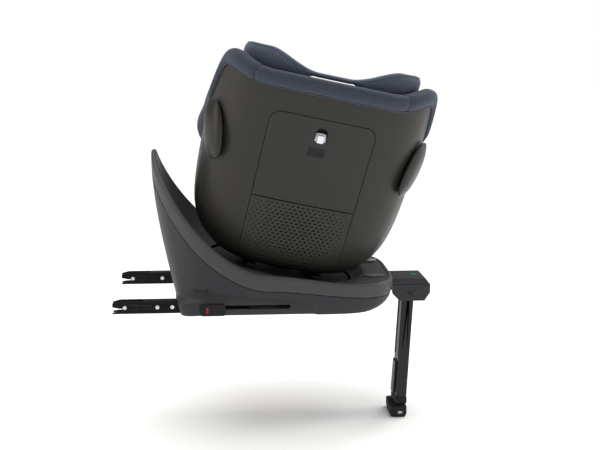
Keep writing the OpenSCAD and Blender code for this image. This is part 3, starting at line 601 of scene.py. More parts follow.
# ---------------------------------------------------------------- shell
def make_shell():
    """Outer shell: bucket grid with a hole over the panel, filled in by rings to the groove round it."""
    kind, share, p0 = bucket_cols()
    grid, vals = bucket_grid(SHELL_FLOOR_K, SHELL_WALL_T, 0.0)
    nf, (ni, nj) = len(SHELL_FLOOR_K), grid.shape[:2]
    for _ in range(6):
        g = grid.copy()
        lo, hi = nf - 4, nf + 3
        grid[lo:hi] = 0.5 * g[lo:hi] + 0.25 * (g[lo - 1:hi - 1] + g[lo + 1:hi + 1])
    npan = int((kind == 0).sum())
    i0, i1 = nf + 3, nf + 62
    ii, jj = np.meshgrid(np.arange(ni - 1), np.arange(nj), indexing="ij")
    keep = ~((ii >= i0) & (ii < i1) & (jj < npan - 1))
    verts = [from_seat(grid).reshape(-1, 3), from_seat(pts(0.0, -10.0, rocker_v(-10.0)))[None]]
    faces = [quads(ni, nj, wrap=True)[keep.ravel()], fan(np.arange(nj), ni * nj)]
    loop = rect_loop(share[:npan] * PANEL_HALF, vals[i0 - nf:i1 - nf + 1, 0])
    outline = round_rect(loop, PANEL_BOX, 6.0, 24.0)
    rings = [on_panel(mix(loop, outline, s), 0.0) for s in (0.0, 0.35, 0.7, 0.92, 1.0)]
    for inset, d in ((0.45, 0.35), (0.6, 3.2), (2.4, 3.6)):
        rings.append(on_panel(round_rect(loop, PANEL_BOX, 6.0, 24.0, inset), d))
    verts.append(np.stack(rings).reshape(-1, 3))
    faces.append(quads(len(rings), len(loop), wrap=True, start=ni * nj + 1))
    obj = new_mesh("shell_body", np.concatenate(verts), faces, merge=0.02,
                   inside=from_seat(pts(0, -60.0, 200.0)), sharp=40)
    wall_thickness(obj, 3.0)
    return place(obj, "shell", "shell", ["outer_shell"])


CATCH = (0.0, 303.0)    # centre of the finger opening in the storage door


def arch(theta, w, h):
    """Radius of an arch shape from its centre: flat foot and sides, half-round head."""
    c, s = np.cos(theta) / w, np.sin(theta) / h
    return np.where(s > 0, super_r(c, s, 2.3), super_r(c, s, 5.0))


def ray_box(theta, box, r, cx, cv):
    """Points of a rounded rectangle along rays from (cx, cv): outside start projected, then settled."""
    x0, v0, x1, v1 = box
    c, s = np.cos(theta), np.sin(theta)
    tx = np.where(c > 0, (x1 - cx) / np.maximum(c, 1e-6), (x0 - cx) / np.minimum(c, -1e-6))
    tv = np.where(s > 0, (v1 - cv) / np.maximum(s, 1e-6), (v0 - cv) / np.minimum(s, -1e-6))
    t = np.minimum(tx, tv)
    q = np.stack([cx + t * c, cv + t * s], -1) + np.stack([c, s], -1) * 0.01
    return round_rect(q, box, *r)


def plate(name, s, t, high, low, **kw):
    """Thin plate on the back over the grid (s, t), between two depths."""
    return tube_mesh(name, np.concatenate([panel_pt(s, t, high), panel_pt(s, t, low)[:, ::-1]], axis=1), **kw)


def make_door():
    """Storage door: a curved plate between an arched finger opening and a rounded outline."""
    box = (-PANEL_HALF + 1.7, PANEL_MID + 0.9, PANEL_HALF - 1.7, PANEL_TOP - 1.7)
    centre = np.array(CATCH)
    cx, cv = CATCH
    edge = rect_loop(np.linspace(box[0], box[2], 50), np.linspace(box[1], box[3], 44))
    th = np.arctan2(edge[:, 1] - cv, edge[:, 0] - cx)
    th = np.sort(np.concatenate([th, np.linspace(-math.pi, math.pi, 61)[:-1] + 0.013]))
    rad = arch(th, 12.4, 14.5)
    hole = np.stack([cx + rad * np.cos(th), cv + rad * np.sin(th)], -1)
    out = ray_box(th, box, (1.5, 22.5), cx, cv)
    rings = [on_panel(out, 2.9), on_panel(out, 0.5)]
    for s in (0.994, 0.97, 0.9, 0.8, 0.7, 0.6, 0.5, 0.4, 0.3, 0.22, 0.15, 0.09, 0.045, 0.02):
        rings.append(on_panel(mix(hole, out, s), 0.0))
    for grow, d in ((0.0, 0.25), (-0.01, 0.9), (-0.025, 2.9)):
        rings.append(on_panel(centre + (hole - centre) * (1 + grow), d))
    for s in (0.02, 0.2, 0.4, 0.6, 0.8, 0.97):
        rings.append(on_panel(mix(hole, out, s), 2.95))
    obj = tube_mesh("door_plate", np.stack(rings), ring=True, inside=panel_pt(0.0, 240.0, 60.0), sharp=30)
    place(obj, "storage_door", "door", ["storage_door"])
    # cup behind the opening, and the sloping bright catch in its lower half
    th = np.linspace(0, 2 * math.pi, 64, endpoint=False)
    rad = arch(th, 12.3, 14.4)
    rings = []
    for k, d in ((1.0, 0.6), (0.99, 1.5), (0.97, 3.0), (0.9, 6.5), (0.7, 8.5), (0.35, 9.2), (0.0, 9.3)):
        rings.append(panel_pt(cx + rad * np.cos(th) * k, cv + rad * np.sin(th) * k, d))
    cup = new_mesh("door_finger_cup", np.stack(rings).reshape(-1, 3), [quads(7, 64, wrap=True)], merge=0.01,
                   inside=panel_pt(cx, cv, -30.0), flip=True)
    wall_thickness(cup, 0.5)
    place(cup, "storage_door", "black")
    s, t = np.meshgrid(np.linspace(-1, 1, 25), np.linspace(0, 1, 17))
    x = cx + 11.2 * s * (1 - 0.1 * t)
    v = cv - 13.6 + 16.5 * t + 1.5 * (1 - s ** 2) * t
    d = 0.5 + 1.2 * (1 - t) ** 3 + 5.0 * t ** 2.2 + 1.4 * np.abs(s) ** 4
    catch = plate("door_catch_plate", x, v, d, d + 1.4, inside=panel_pt(cx, cv, 4.0))
    place(catch, "storage_door", "silver_plastic")
    # blank label below the opening
    s, t = np.meshgrid(np.linspace(-19, 15, 18), np.linspace(259, 277, 10))
    obj = plate("blank_label", s, t, -0.08, 0.3, inside=panel_pt(0.0, 268.0, 0.1))
    place(obj, "storage_door", "black")


def make_grille():
    """Vent panel: brick-laid cells, each a square frame of points round an oval hole with a floor."""
    pitch, row_h, n, m, v0 = 10.4, 7.2, 19, 16, 37.5
    i, j = np.meshgrid(np.arange(m), np.arange(n), indexing="ij")
    odd = i % 2
    x = (j - (n - 1) / 2) * pitch + odd * pitch / 2 - pitch / 4
    v = v0 + (i + 0.5) * row_h
    real = ~((odd == 1) & (j == n - 1))
    x, v = x[real], v[real]
    side = np.array([-1, -0.5, 0, 0.5])
    one = np.ones(4)
    sq = np.concatenate([np.stack(pair, -1) for pair in ((side, -one), (one, side), (-side, one), (-one, -side))])
    th = np.arctan2(sq[:, 1], sq[:, 0])
    far = np.sqrt((x / 100) ** 2 + ((v - 100) / 78) ** 2)
    size = mix(1.12, 0.5, np.clip(far, 0, 1) ** 1.4)[:, None, None]
    skew = np.stack([np.cos(th) + 0.35 * np.sin(th), np.sin(th)], -1)
    centre = np.stack([x, v], -1)[:, None]
    rings = [(centre + sq * np.array([pitch / 2, row_h / 2]), 0.25)]
    for grow, d in ((1.1, 0.25), (1.0, 0.5), (0.97, 3.4)):
        rings.append((centre + skew * size * np.array([2.7, 1.95]) * grow, d))
    q = np.stack([r[0] for r in rings], 1)
    d = np.array([r[1] for r in rings])[None, :, None]
    verts = [panel_pt(q[..., 0], q[..., 1], np.broadcast_to(d, q.shape[:-1])).reshape(-1, 3)]
    first = 64 * np.arange(len(x))
    faces = [(quads(4, 16, wrap=True)[None] + first[:, None, None]).reshape(-1, 4),
             first[:, None] + 48 + np.arange(16)[None]]
    count = 64 * len(x)
    # half cells that square off the staggered rows
    xl, xr = -((n - 1) / 2 + 0.5) * pitch - pitch / 4, ((n - 1) / 2 + 0.5) * pitch - pitch / 4
    for row in range(1, m, 2):
        a, b = v0 + row * row_h, v0 + (row + 1) * row_h
        for x_a, x_b in ((xl, xl + pitch / 2), (xr - pitch / 2, xr)):
            loop = rect_loop(np.array([x_a, (x_a + x_b) / 2, x_b]), np.linspace(a, b, 5))
            verts.append(on_panel(loop, 0.25))
            faces.append(np.arange(count, count + len(loop))[None])
            count += len(loop)
    loop = rect_loop(np.arange(xl, xr + 0.1, pitch / 4), np.linspace(v0, v0 + m * row_h, 4 * m + 1))
    box = (-PANEL_HALF + 1.7, PANEL_LOW + 1.6, PANEL_HALF - 1.7, PANEL_MID - 0.9)
    outline = round_rect(loop + (loop - [0, 92]) * 0.6, box, 5.0, 1.0)
    rings = [on_panel(mix(loop, outline, s), d)
             for s, d in ((0.0, 0.25), (0.5, 0.12), (0.93, 0.0), (1.0, 0.5), (1.0, 2.9))]
    verts.append(np.stack(rings).reshape(-1, 3))
    faces.append(quads(len(rings), len(loop), wrap=True, start=count))
    obj = new_mesh("vent_panel", np.concatenate(verts), faces, merge=0.03, inside=panel_pt(0.0, 90.0, 60.0), sharp=35)
    place(obj, "shell", "door", ["vent_grille"])


POD_ANGLE, POD_V, POD_LONG, POD_WIDE, POD_POWER = 65.0, 268.0, 59.4, 35.4, 2.35
# share of the outline and height above the wall, from the middle of the back to the top of the dome
POD_RINGS = ((0.0, 3.1), (0.6, 3.1), (0.93, 3.0), (0.965, 3.3), (0.99, 4.4), (1.0, 6.0), (0.99, 7.4), (0.955, 8.9),
             (0.9, 10.4), (0.8, 12.5), (0.68, 14.4), (0.54, 16.0), (0.38, 17.0), (0.2, 17.5), (0.0, 17.6))


def make_pods():
    """Side pods: a long dome of superellipse outline with a rounded lip."""
    cs, sn = circle(96)
    r = super_r(cs, sn, POD_POWER)
    for sign, name in ((-1, "left"), (1, "right")):
        c = wall_pt(sign * POD_ANGLE, POD_V, 0.0)
        e = wall_pt(sign * (POD_ANGLE + 1), POD_V, 0.0) - wall_pt(sign * (POD_ANGLE - 1), POD_V, 0.0)
        up = wall_pt(sign * POD_ANGLE, POD_V + 5, 0.0) - c
        n = unit(sign * np.cross(e, up))
        a = unit(np.array([0, 0, 1.0]) - n * n[2])
        b = np.cross(n, a)
        rings = [c + n * h + (cs * r * s * POD_LONG)[:, None] * a + (sn * r * s * POD_WIDE)[:, None] * b
                 for s, h in POD_RINGS]
        obj = new_mesh("pod_" + name, from_seat(np.stack(rings)).reshape(-1, 3), [quads(len(rings), 96, wrap=True)],
                       merge=0.01, inside=from_seat(c + n * 9), sharp=50)
        place(obj, "pod_" + name, "pod", ["side_pod_" + name])


# ---------------------------------------------------------------- padded covers
def arm_bulge(p):
    """Share by which the roll swells outwards over the arms, 0 to 1."""
    q = fold(p)
    return ss(102, 118, q) * (1 - ss(140, 166, q))


TRIM_SECTION = np.array([[1, -3], [5, -5.8], [9, -7], [14.5, -7.9], [20, -7.6], [25, -5.6], [28.6, -2], [31, 2.6],
                         [32, 8], [32.2, 14], [31, 20], [27, 25.2], [22, 28.4], [16, 30.2], [10, 30.5], [1, 30],
                         [-2, 24], [-3.5, 14], [-2.5, 3]])


RIM_JOINS = (-42.0, 42.0, 104.0, -104.0, 150.0, -150.0)


def make_trim():
    """Padded roll round the rim: an oval section carried round, pinched at its sewn joins."""
    kind, share, p0 = bucket_cols(49, 84)
    rim = rim_v(p0)
    closed = np.r_[TRIM_SECTION, TRIM_SECTION[:1]]
    seg = np.r_[0, np.cumsum(np.linalg.norm(np.diff(closed, axis=0), axis=1))]
    s = np.linspace(0, seg[-1], 36, endpoint=False)
    dv, dd = (np.interp(s, seg, closed[:, k]) for k in (0, 1))
    for _ in range(2):
        dv, dd = ((np.roll(a, 1) + 2 * a + np.roll(a, -1)) / 4 for a in (dv, dd))
    sew = np.zeros_like(p0)
    for at in RIM_JOINS:
        sew = np.maximum(sew, np.exp(-(((p0 - at + 180) % 360 - 180) / 0.9) ** 2))
    centre_v, centre_d = 14.0, 11.0
    fill = bpy.context.scene.seat_settings.roll_fill
    puff = 1 + 0.12 * (fill - 0.7) - 0.1 * sew + 0.012 * wave(p0 / 9, seed=3)
    dvp = centre_v + (dv[None] - centre_v) * puff[:, None]
    ddp = centre_d + (dd[None] - centre_d) * puff[:, None]
    ripple = 0.5 * wave(p0[:, None] / 6 + 0 * s, s[None] / 9 + 0 * p0[:, None], seed=5)
    ddp = np.where(ddp < 6, ddp - 12 * arm_bulge(p0)[:, None] * ss(6, -4, ddp), ddp) + ripple * 0.5

    def round_rim(v, d):
        """Loops round the rim at heights v and depths d."""
        return from_seat(wall_pt(col_angle(kind[:, None], share[:, None], v), v, d))

    loops = round_rim(rim[:, None] + dvp, ddp)
    obj = tube_mesh("rim_roll", loops, ring=True, sharp=70)
    place(obj, "shell", "cover", ["edge_trim"])
    # thread in each sewn join, a thin loop round the roll
    cs, sn = (a[None, :, None] for a in circle(6))
    for n, at in enumerate(RIM_JOINS):
        i = int(np.argmin(np.abs((p0 - at + 180) % 360 - 180)))
        a, b = loops[i], loops[(i + 1) % len(loops)]
        out = unit(a - a.mean(0))
        ring = (a + out * 0.25)[:, None] + 0.65 * (cs * out[:, None] + sn * unit(b - a)[:, None])
        place(tube_mesh("rim_thread_%d" % n, ring, ring=True, sharp=80), "shell", "black")
    # cord sewn along the lower edge of the roll, where it meets the shell
    cs, sn = circle(8)
    obj = tube_mesh("rim_piping", round_rim(rim[:, None] + 0.4 + 1.5 * sn[None], -2.3 + 1.5 * cs[None]),
                    ring=True, sharp=80)
    place(obj, "shell", "cover")


def pad_layer(name, node, floor_k, wall_t, cols, wrap, d_out, crown, mat, pole=False):
    """Padding over part of the bucket: a plain outer skin and a crowned inner one, joined round the edges."""
    outer, inner = (from_seat(bucket_grid(floor_k, wall_t, d, cols=cols)[0]) for d in (d_out, crown))
    ni, nj = outer.shape[:2]
    off = ni * nj
    v = [outer.reshape(-1, 3), inner.reshape(-1, 3)]
    faces = [quads(ni, nj, wrap=wrap), quads(ni, nj, wrap=wrap, start=off)[:, ::-1]] + edge_walls(ni, nj, wrap, pole)
    if pole:
        v.append(np.stack([outer[0].mean(0), inner[0].mean(0)]))
        faces += [fan(np.arange(nj), 2 * off), fan(off + np.arange(nj), 2 * off + 1)]
    obj = new_mesh(name, np.concatenate(v), faces, sharp=60)
    return place(obj, "shell", mat, [node])


def edge_fall(n, width):
    """0 at both ends of n steps, rising to 1 within width of them along a quarter circle."""
    t = np.linspace(0, 1, n)
    e = np.clip(np.minimum(t, 1 - t) / width, 0, 1)
    return np.sqrt(1 - (1 - e) ** 2)


def select_cols(a, b, n):
    """Columns between two plan angles, for a pad that spans them."""
    p = np.linspace(a, b, n)
    q = np.where(p > 180, p - 360, p)
    aq = np.abs(q)
    kind = np.where(aq <= 30 * PATCH_K, 0, np.sign(q))
    share = np.where(kind == 0, q / 30, (aq - 30 * PATCH_K) / (180 - 30 * PATCH_K))
    return kind, share, np.where(q < 0, q + 360, q)


# name, node, first and last plan angle, columns, groove heights and cross grooves of each wall cushion
CUSHIONS = (("back_cushion", "back_pad", -55.5, 55.5, 60, (0.3, 0.5, 0.7), (-0.62, 0.62)),
            ("side_cushion_right", "side_pad_right", 56, 129.5, 48, (0.45,), ()),
            ("side_cushion_left", "side_pad_left", 230.5, 304, 48, (0.45,), ()),
            ("front_cushion", "front_pad", 130, 230, 52, (0.45,), ()))
PAD_D = 18.4


def make_pads():
    """Seat, back, side and front cushions, with sewn channels and rounded edges."""
    # seat cushion: full floor of the bucket
    cols = bucket_cols(31, 46)
    floor_k, wt = np.linspace(0.05, 1, 30)[:-1], np.linspace(0, 0.045, 5)
    rr = np.concatenate([floor_k, 1 + wt * 3])[:, None]
    p0 = cols[2][None]
    fall = np.sqrt(np.clip(1 - ss(0.86, 1.135, rr) ** 2, 0, 1))
    channel = np.exp(-((rr - 0.62) / 0.022) ** 2)
    for at in (90, -90):
        channel = channel + 0.8 * np.exp(-(fold(p0 - at) / 2.5) ** 2) * (rr > 0.62)
    rise = 3.0 * np.cos(rr * 1.4) - 3.2 * channel + 0.5 * wave(rr * 9, p0 / 15, seed=11)
    crown = 18.6 + 15.4 * fall + rise * fall
    pad_layer("seat_cushion", "seat_pad", floor_k, wt, cols, True, PAD_D,
              np.broadcast_to(crown, (len(rr), len(cols[2]))), "insert", pole=True)
    wt = np.linspace(0.075, 1, 56)
    for name, node, a, b, n, levels, sides in CUSHIONS:
        fall = np.sqrt(edge_fall(n, 0.08)[None] * edge_fall(len(wt), 0.05)[:, None])
        u, t = np.linspace(-1, 1, n)[None], wt[:, None]
        grooves = sum(np.exp(-((t - at - 0.03 * u ** 2) / 0.006) ** 2) for at in levels)
        grooves = grooves + sum(np.exp(-((u - at) / 0.02) ** 2) for at in sides)
        rise = 2.2 - 3.0 * np.clip(grooves, 0, 1) + 0.5 * wave(u * 5, t * 9, seed=len(name))
        crown = 18.8 + 11.2 * fall + rise * fall
        pad_layer(name, node, [], wt, select_cols(a, b, n), False, PAD_D, crown, "cover_dark")


def head_top(p):
    """Height of the headrest's top edge, lower in the middle than on the wings."""
    q = fold(p)
    return mix(420, 451, ss(10, 48, q)) - 70 * ss(84, 122, q)


def head_low(p):
    """Height of the headrest's lower edge."""
    return 250 + 20 * ss(60, 110, fold(p))


HEAD_END, HEAD_ROLL, HEAD_D = 120.0, 13.6, 46.0


def head_ends(p):
    """Towards the wing tips: share of the full form, half thickness, and how far the edges draw in."""
    end = np.clip((HEAD_END - np.abs(p)) / 7, 0, 1)
    arc = np.sqrt(1 - (1 - end) ** 2)
    return end, HEAD_ROLL * arc + 0.4, (1 - arc) * 18


def head_pt(p, v, d):
    """Point of the headrest at plan angle p and height v, d inside the shell's upper outline."""
    r = plan_r(p)
    k = np.where(cosd(p) > 0, 130, 330)
    return from_seat(pts((SHELL_HALF_W - 1.8 - d) * r * sind(p), mid_y(v) - (k - d) * r * cosd(p), v))


def make_headrest():
    """Headrest cover: one full padded wing-to-wing form, a rounded slab bent round the head."""
    p = np.linspace(-HEAD_END, HEAD_END, 150)
    end, h, short = head_ends(p)
    dip = 32.0 * (1 - ss(14.6, 18.2, np.abs(p)))
    top, low = head_top(p) - dip - 0.5 - short, head_low(p) + 1.0 + short
    face = np.linspace(0, 1, 34)
    arc = np.linspace(0, math.pi, 12)[1:-1]
    hh, p_, gather = h[:, None], p[:, None], end[:, None]
    lo, hi = (low + h)[:, None], (top - h)[:, None]
    seam = np.exp(-((face - 0.52) / 0.012) ** 2)[None] * ss(24, 34, np.abs(p_))
    wing = np.exp(-((np.abs(p_) - 36) / 0.9) ** 2)
    uneven = 0.6 * wave(p_ / 14 + 0 * face, face[None] * 6 + 0 * p_, seed=21)
    v = np.concatenate([mix(lo, hi, face[None]), hi + hh * np.sin(arc)[None], mix(hi, lo, face[None]),
                        lo - hh * np.sin(arc)[None]], 1)
    back = HEAD_D - hh * (1 + 0.16 * np.sin(math.pi * face)[None])
    front = HEAD_D + hh * (1 + 0.08 * np.sin(math.pi * face[::-1])[None])
    front = front + (uneven[:, ::-1] - 2.6 * np.maximum(seam[:, ::-1], wing)) * gather
    d = np.concatenate([back, HEAD_D - hh * np.cos(arc)[None], front, HEAD_D + hh * np.cos(arc)[None]], 1)
    obj = tube_mesh("headrest_cover", head_pt(p_, v, np.maximum(d, 30.6)), sharp=75)
    # the headrest wears the cover fabric painted lighter, as painted light
    place(obj, "headrest", "cover_head", ["headrest_shell", "headrest_pad"])
    # piping along the outer edge of the headrest's top
    s = np.linspace(3 - HEAD_END, HEAD_END - 3, 220)
    _, h, short = head_ends(s)
    c_v, c_d = head_top(s) - 0.5 - short - h + h * 0.80, HEAD_D - h * 0.64
    cs, sn = circle(8)
    loops = head_pt(s[:, None], c_v[:, None] + 1.1 * sn, c_d[:, None] + 1.1 * cs)
    obj = tube_mesh("headrest_piping", loops, sharp=80)
    place(obj, "headrest", "cover_head")
    # padded bar over the lever's window, an oval section that thickens into the wings
    s = np.linspace(-23, 23, 60)[:, None]
    cs, sn = circle(24)
    grow = ss(13, 21, np.abs(s))
    tall, deep = 4.7 + 6.5 * grow, 12.5 + 0.5 * grow
    loops = head_pt(s, head_top(s) - 0.3 - tall + tall * sn, HEAD_D + deep * cs)
    obj = tube_mesh("headrest_bridge", loops, sharp=80)
    place(obj, "headrest", "cover_head")
    # head insert: softer oval cushion on the inner face
    u, t = np.meshgrid(np.linspace(-1, 1, 41), np.linspace(-1, 1, 31))
    r = (np.abs(u) ** 3 + np.abs(t) ** 3) ** (1 / 3)
    lens = np.sqrt(np.clip(1 - r ** 2.2, 0, 1))
    k = np.where(r > 1, 1 / np.maximum(r, 1e-6), 1)
    pu, tv = u * k * 40, 325 + t * k * 46
    front = head_pt(pu, tv, 60.5 + 9 * lens - 1.5 * np.exp(-((u * k) / 0.03) ** 2) * lens)
    back = head_pt(pu, tv, 60.0 + 0 * lens)
    ni, nj = front.shape[:2]
    obj = new_mesh("head_insert", np.concatenate([front.reshape(-1, 3), back.reshape(-1, 3)]),
                   [quads(ni, nj), quads(ni, nj, start=ni * nj)[:, ::-1]] + edge_walls(ni, nj), sharp=70)
    place(obj, "headrest", "insert")


def edge_walls(ni, nj, wrap=False, pole=False):
    """Faces that join the edges of two equal grids, the second stored after the first."""
    i, j = np.arange(ni - 1), np.arange(nj if wrap else nj - 1)
    pairs = [(row * nj + j, row * nj + (j + 1) % nj) for row in ((ni - 1,) if pole else (0, ni - 1))]
    if not wrap:
        pairs += [(i * nj + col, (i + 1) * nj + col) for col in (0, nj - 1)]
    return [np.stack([a, b, ni * nj + b, ni * nj + a], -1) for a, b in pairs]


# ---------------------------------------------------------------- harness
STRAP_ROUTE = [[44, -203, 246], [44, -185, 200], [43, -163, 150], [40, -142, 110], [36, -121, 84],
               [32, -94, 74], [26, -60, 80], [20, -20, 106], [15, 14, 132], [13, 33, 147]]


def seat_path(route, dx=1.0):
    """Route in the seat frame as points in the row frame, its x scaled by dx."""
    return from_seat(np.asarray([[c[0] * dx, c[1], c[2]] for c in route], float))


CROTCH_ROUTE = [[0, 62, 52.5], [0, 62, 66], [0, 61, 78], [0, 60.2, 87]]
PULL_ROUTE = [[0, 168, 112], [0, 184, 124], [0, 197, 140], [0, 205, 152], [0, 218, 168], [0, 234, 175.5],
              [0, 252, 177], [0, 264, 170], [0, 267, 156], [0, 265, 130]]


def make_harness():
    """Shoulder straps with padded sleeves, crotch strap and adjuster strap, as flat webbing."""
    verts, faces, uvs, count = [], [], [], 0
    across = from_seat(pts(1.0, 0, 0)) - from_seat(pts(0.0, 0, 0))
    for s in (-1, 1):
        loops, uv = sweep(seat_path(STRAP_ROUTE, s), 24, 2.0, across)
        v, f = capped(loops, count)
        verts.append(v)
        uvs.append(uv)
        faces += f
        count += len(v)
    obj = new_mesh("shoulder_straps", np.concatenate(verts), faces, uv=np.concatenate(uvs), sharp=70)
    place(obj, "shell", "webbing", ["harness_straps"])
    for name, node, route, w in (("crotch_webbing", "crotch_strap", CROTCH_ROUTE, 32),
                                 ("adjuster_webbing", "adjuster_strap", PULL_ROUTE, 24)):
        loops, uv = sweep(seat_path(route), w, 2.0, across)
        place(tube_mesh(name, loops, uv=uv, sharp=70), "shell", "webbing", [node])
    for s, name in ((-1, "left"), (1, "right")):
        loops, _ = sweep(seat_path(STRAP_ROUTE[1:6], s), 46, 9.0, across, rim=1.4)
        i = np.arange(len(loops))
        c = loops.mean(1, keepdims=True)
        near_end = np.clip(np.minimum(i, len(loops) - 1 - i) / 2.5, 0, 1)
        e = np.sqrt(np.clip(1 - (1 - near_end) ** 2, 0.06, 1))
        obj = tube_mesh("shoulder_pad_" + name, c + (loops - c) * e[:, None, None], sharp=80)
        modifier(obj, "SUBSURF", levels=1, render_levels=1)
        place(obj, "shell", "insert")


# ---------------------------------------------------------------- base
def rear_power(z):
    """Squareness of the rear corners in plan: nearly square at the foot, rounder with height."""
    return 2.4 + 5.6 * np.exp(-z / 60) + 8 * ss(36, 24, z)


def base_power(rear, z):
    """Power of the base's plan outline at height z, behind or in front."""
    return np.where(rear, rear_power(z), 4 + 3 * np.exp(-z / 20))


def base_length(rear, z):
    """Reach of the base from BASE_XC at height z, behind or in front."""
    return np.where(rear, 201 + 59 * (1 - np.maximum(0, 1 - z / 300) ** 1.7), 196 + 51 * (1 - np.exp(-z / 14)))


def base_width(z):
    """Half width of the base, drawn in at its foot."""
    return BASE_HALF_W - 8 * np.exp(-z / 12)


def base_pt(q, z, inset):
    """Point of the base's side at plan angle q and height z: a superellipse that changes with height."""
    rear = cosd(q) < 0
    r = super_r(cosd(q), sind(q), base_power(rear, z))
    return pts(BASE_XC + (base_length(rear, z) - inset) * r * cosd(q), (base_width(z) - inset) * r * sind(q), z)


def rim_z(q):
    """Height of the base rim: low in front, rising behind into the tail."""
    p = fold(q)
    return RIM_LOW + 24 * ss(45, 100, p) + TAIL_RISE * sind(90 * np.clip((p - 95) / 85, 0, 1)) ** 2


def seam_z(q):
    """Height of the joint between the two casings."""
    return rim_z(q) - 29 - 12 * ss(60, 150, fold(q))


def scoop(q, t):
    """Bowl under the seat, from the well (t = 0) to the rim (t = 1): a flat ledge in front, rising behind."""
    e = to_seat(base_pt(q, rim_z(q) - 2, 10))
    r_edge = np.hypot(e[..., 0], e[..., 1])
    a = np.arctan2(e[..., 1], e[..., 0])
    r = mix(WELL_R, r_edge, t)

    def curve(rr):
        return -3 + 184 * np.maximum(0, (rr - WELL_R) / 150) ** 2.8

    bowl = curve(r) + (e[..., 2] - curve(r_edge)) * np.power(t, 1.5)
    flat = (rim_z(q) - 2 - SWIVEL_Z + r * np.cos(a) * SIN_T) / COS_T
    v = mix(mix(-3, flat, ss(158, 178, r)), bowl, ss(50, 80, fold(q)))
    return from_seat(pts(r * np.cos(a), r * np.sin(a), v))


RIM_ROUND = 6.6


def make_base_top():
    """Upper casing: the band round the rim, its rounded edge, the bowl, and its underside, in one closed ring."""
    q = np.arange(0, 360, 1.25)[:, None]
    h, s = rim_z(q), seam_z(q) + 0.7

    def bowl(t):
        return scoop(q, np.full_like(q, t))

    band = ((0.0, 0.9), (0.015, 0.25), (0.04, 0.0), (0.3, 0.0), (0.6, 0.0), (0.85, 0.0), (1.0, 0.0))
    rows = [base_pt(q, mix(s, h - RIM_ROUND, share), inset) for share, inset in band]
    for phi in np.radians([15, 30, 45, 60, 75, 90]):
        rows.append(base_pt(q, h - RIM_ROUND + RIM_ROUND * math.sin(phi), RIM_ROUND * (1 - math.cos(phi))))
    rows += [base_pt(q, h - 0.35, 8.2), base_pt(q, h - 1.1, 9.3)]
    rows += [bowl(t) for t in np.linspace(1, 0, 44)]
    for t in np.linspace(0, 0.97, 14):
        along = unit(bowl(min(1, t + 0.02)) - bowl(max(0, t - 0.02)))
        nrm = np.cross(along, unit(np.roll(bowl(t), -1, 0) - np.roll(bowl(t), 1, 0)))
        rows.append(bowl(t) + BASE_T * np.where(nrm[..., 2:] > 0, -nrm, nrm))
    rows += [base_pt(q, mix(s, h, 0.72), BASE_T + 1.4), base_pt(q, mix(s, h, 0.5), BASE_T), base_pt(q, s, BASE_T)]
    obj = tube_mesh("base_band", np.concatenate(rows, axis=1), ring=True, sharp=38)
    place(obj, "base", "band", ["base_upper_casing"])


def x_to_q(x, side, z):
    """Plan angle of the base's side at distance x along, on side +1 or -1."""
    rear = x < BASE_XC
    n = base_power(rear, z)
    t = np.clip((x - BASE_XC) / base_length(rear, z), -0.9999, 0.9999)
    return np.degrees(np.arctan2(side * (1 - np.abs(t) ** n) ** (1 / n), t))


def y_to_q(y, z):
    """Plan angle of the base's rear at distance y across."""
    n = rear_power(z)
    t = y / base_width(z)
    return np.degrees(np.arctan2(t, -(1 - np.abs(t) ** n) ** (1 / n))) % 360


# where the sides end, and the slots and the arm openings begin
REAR_X, REAR_Y, SLOT_X, SLOT_Z, DOOR_Y, DOOR_Z = -150.0, 163.5, 17.0, (13.5, 22.5), 125.0, (2.2, 30.0)


FRONT, LEFT, REAR, LEFT_CORNER, RIGHT_CORNER, RIGHT = range(6)


def recess_top(x):
    """Height of the ledge over the side recess, rising towards the rear."""
    return 29 + 0.115 * np.maximum(0, 45 - x)


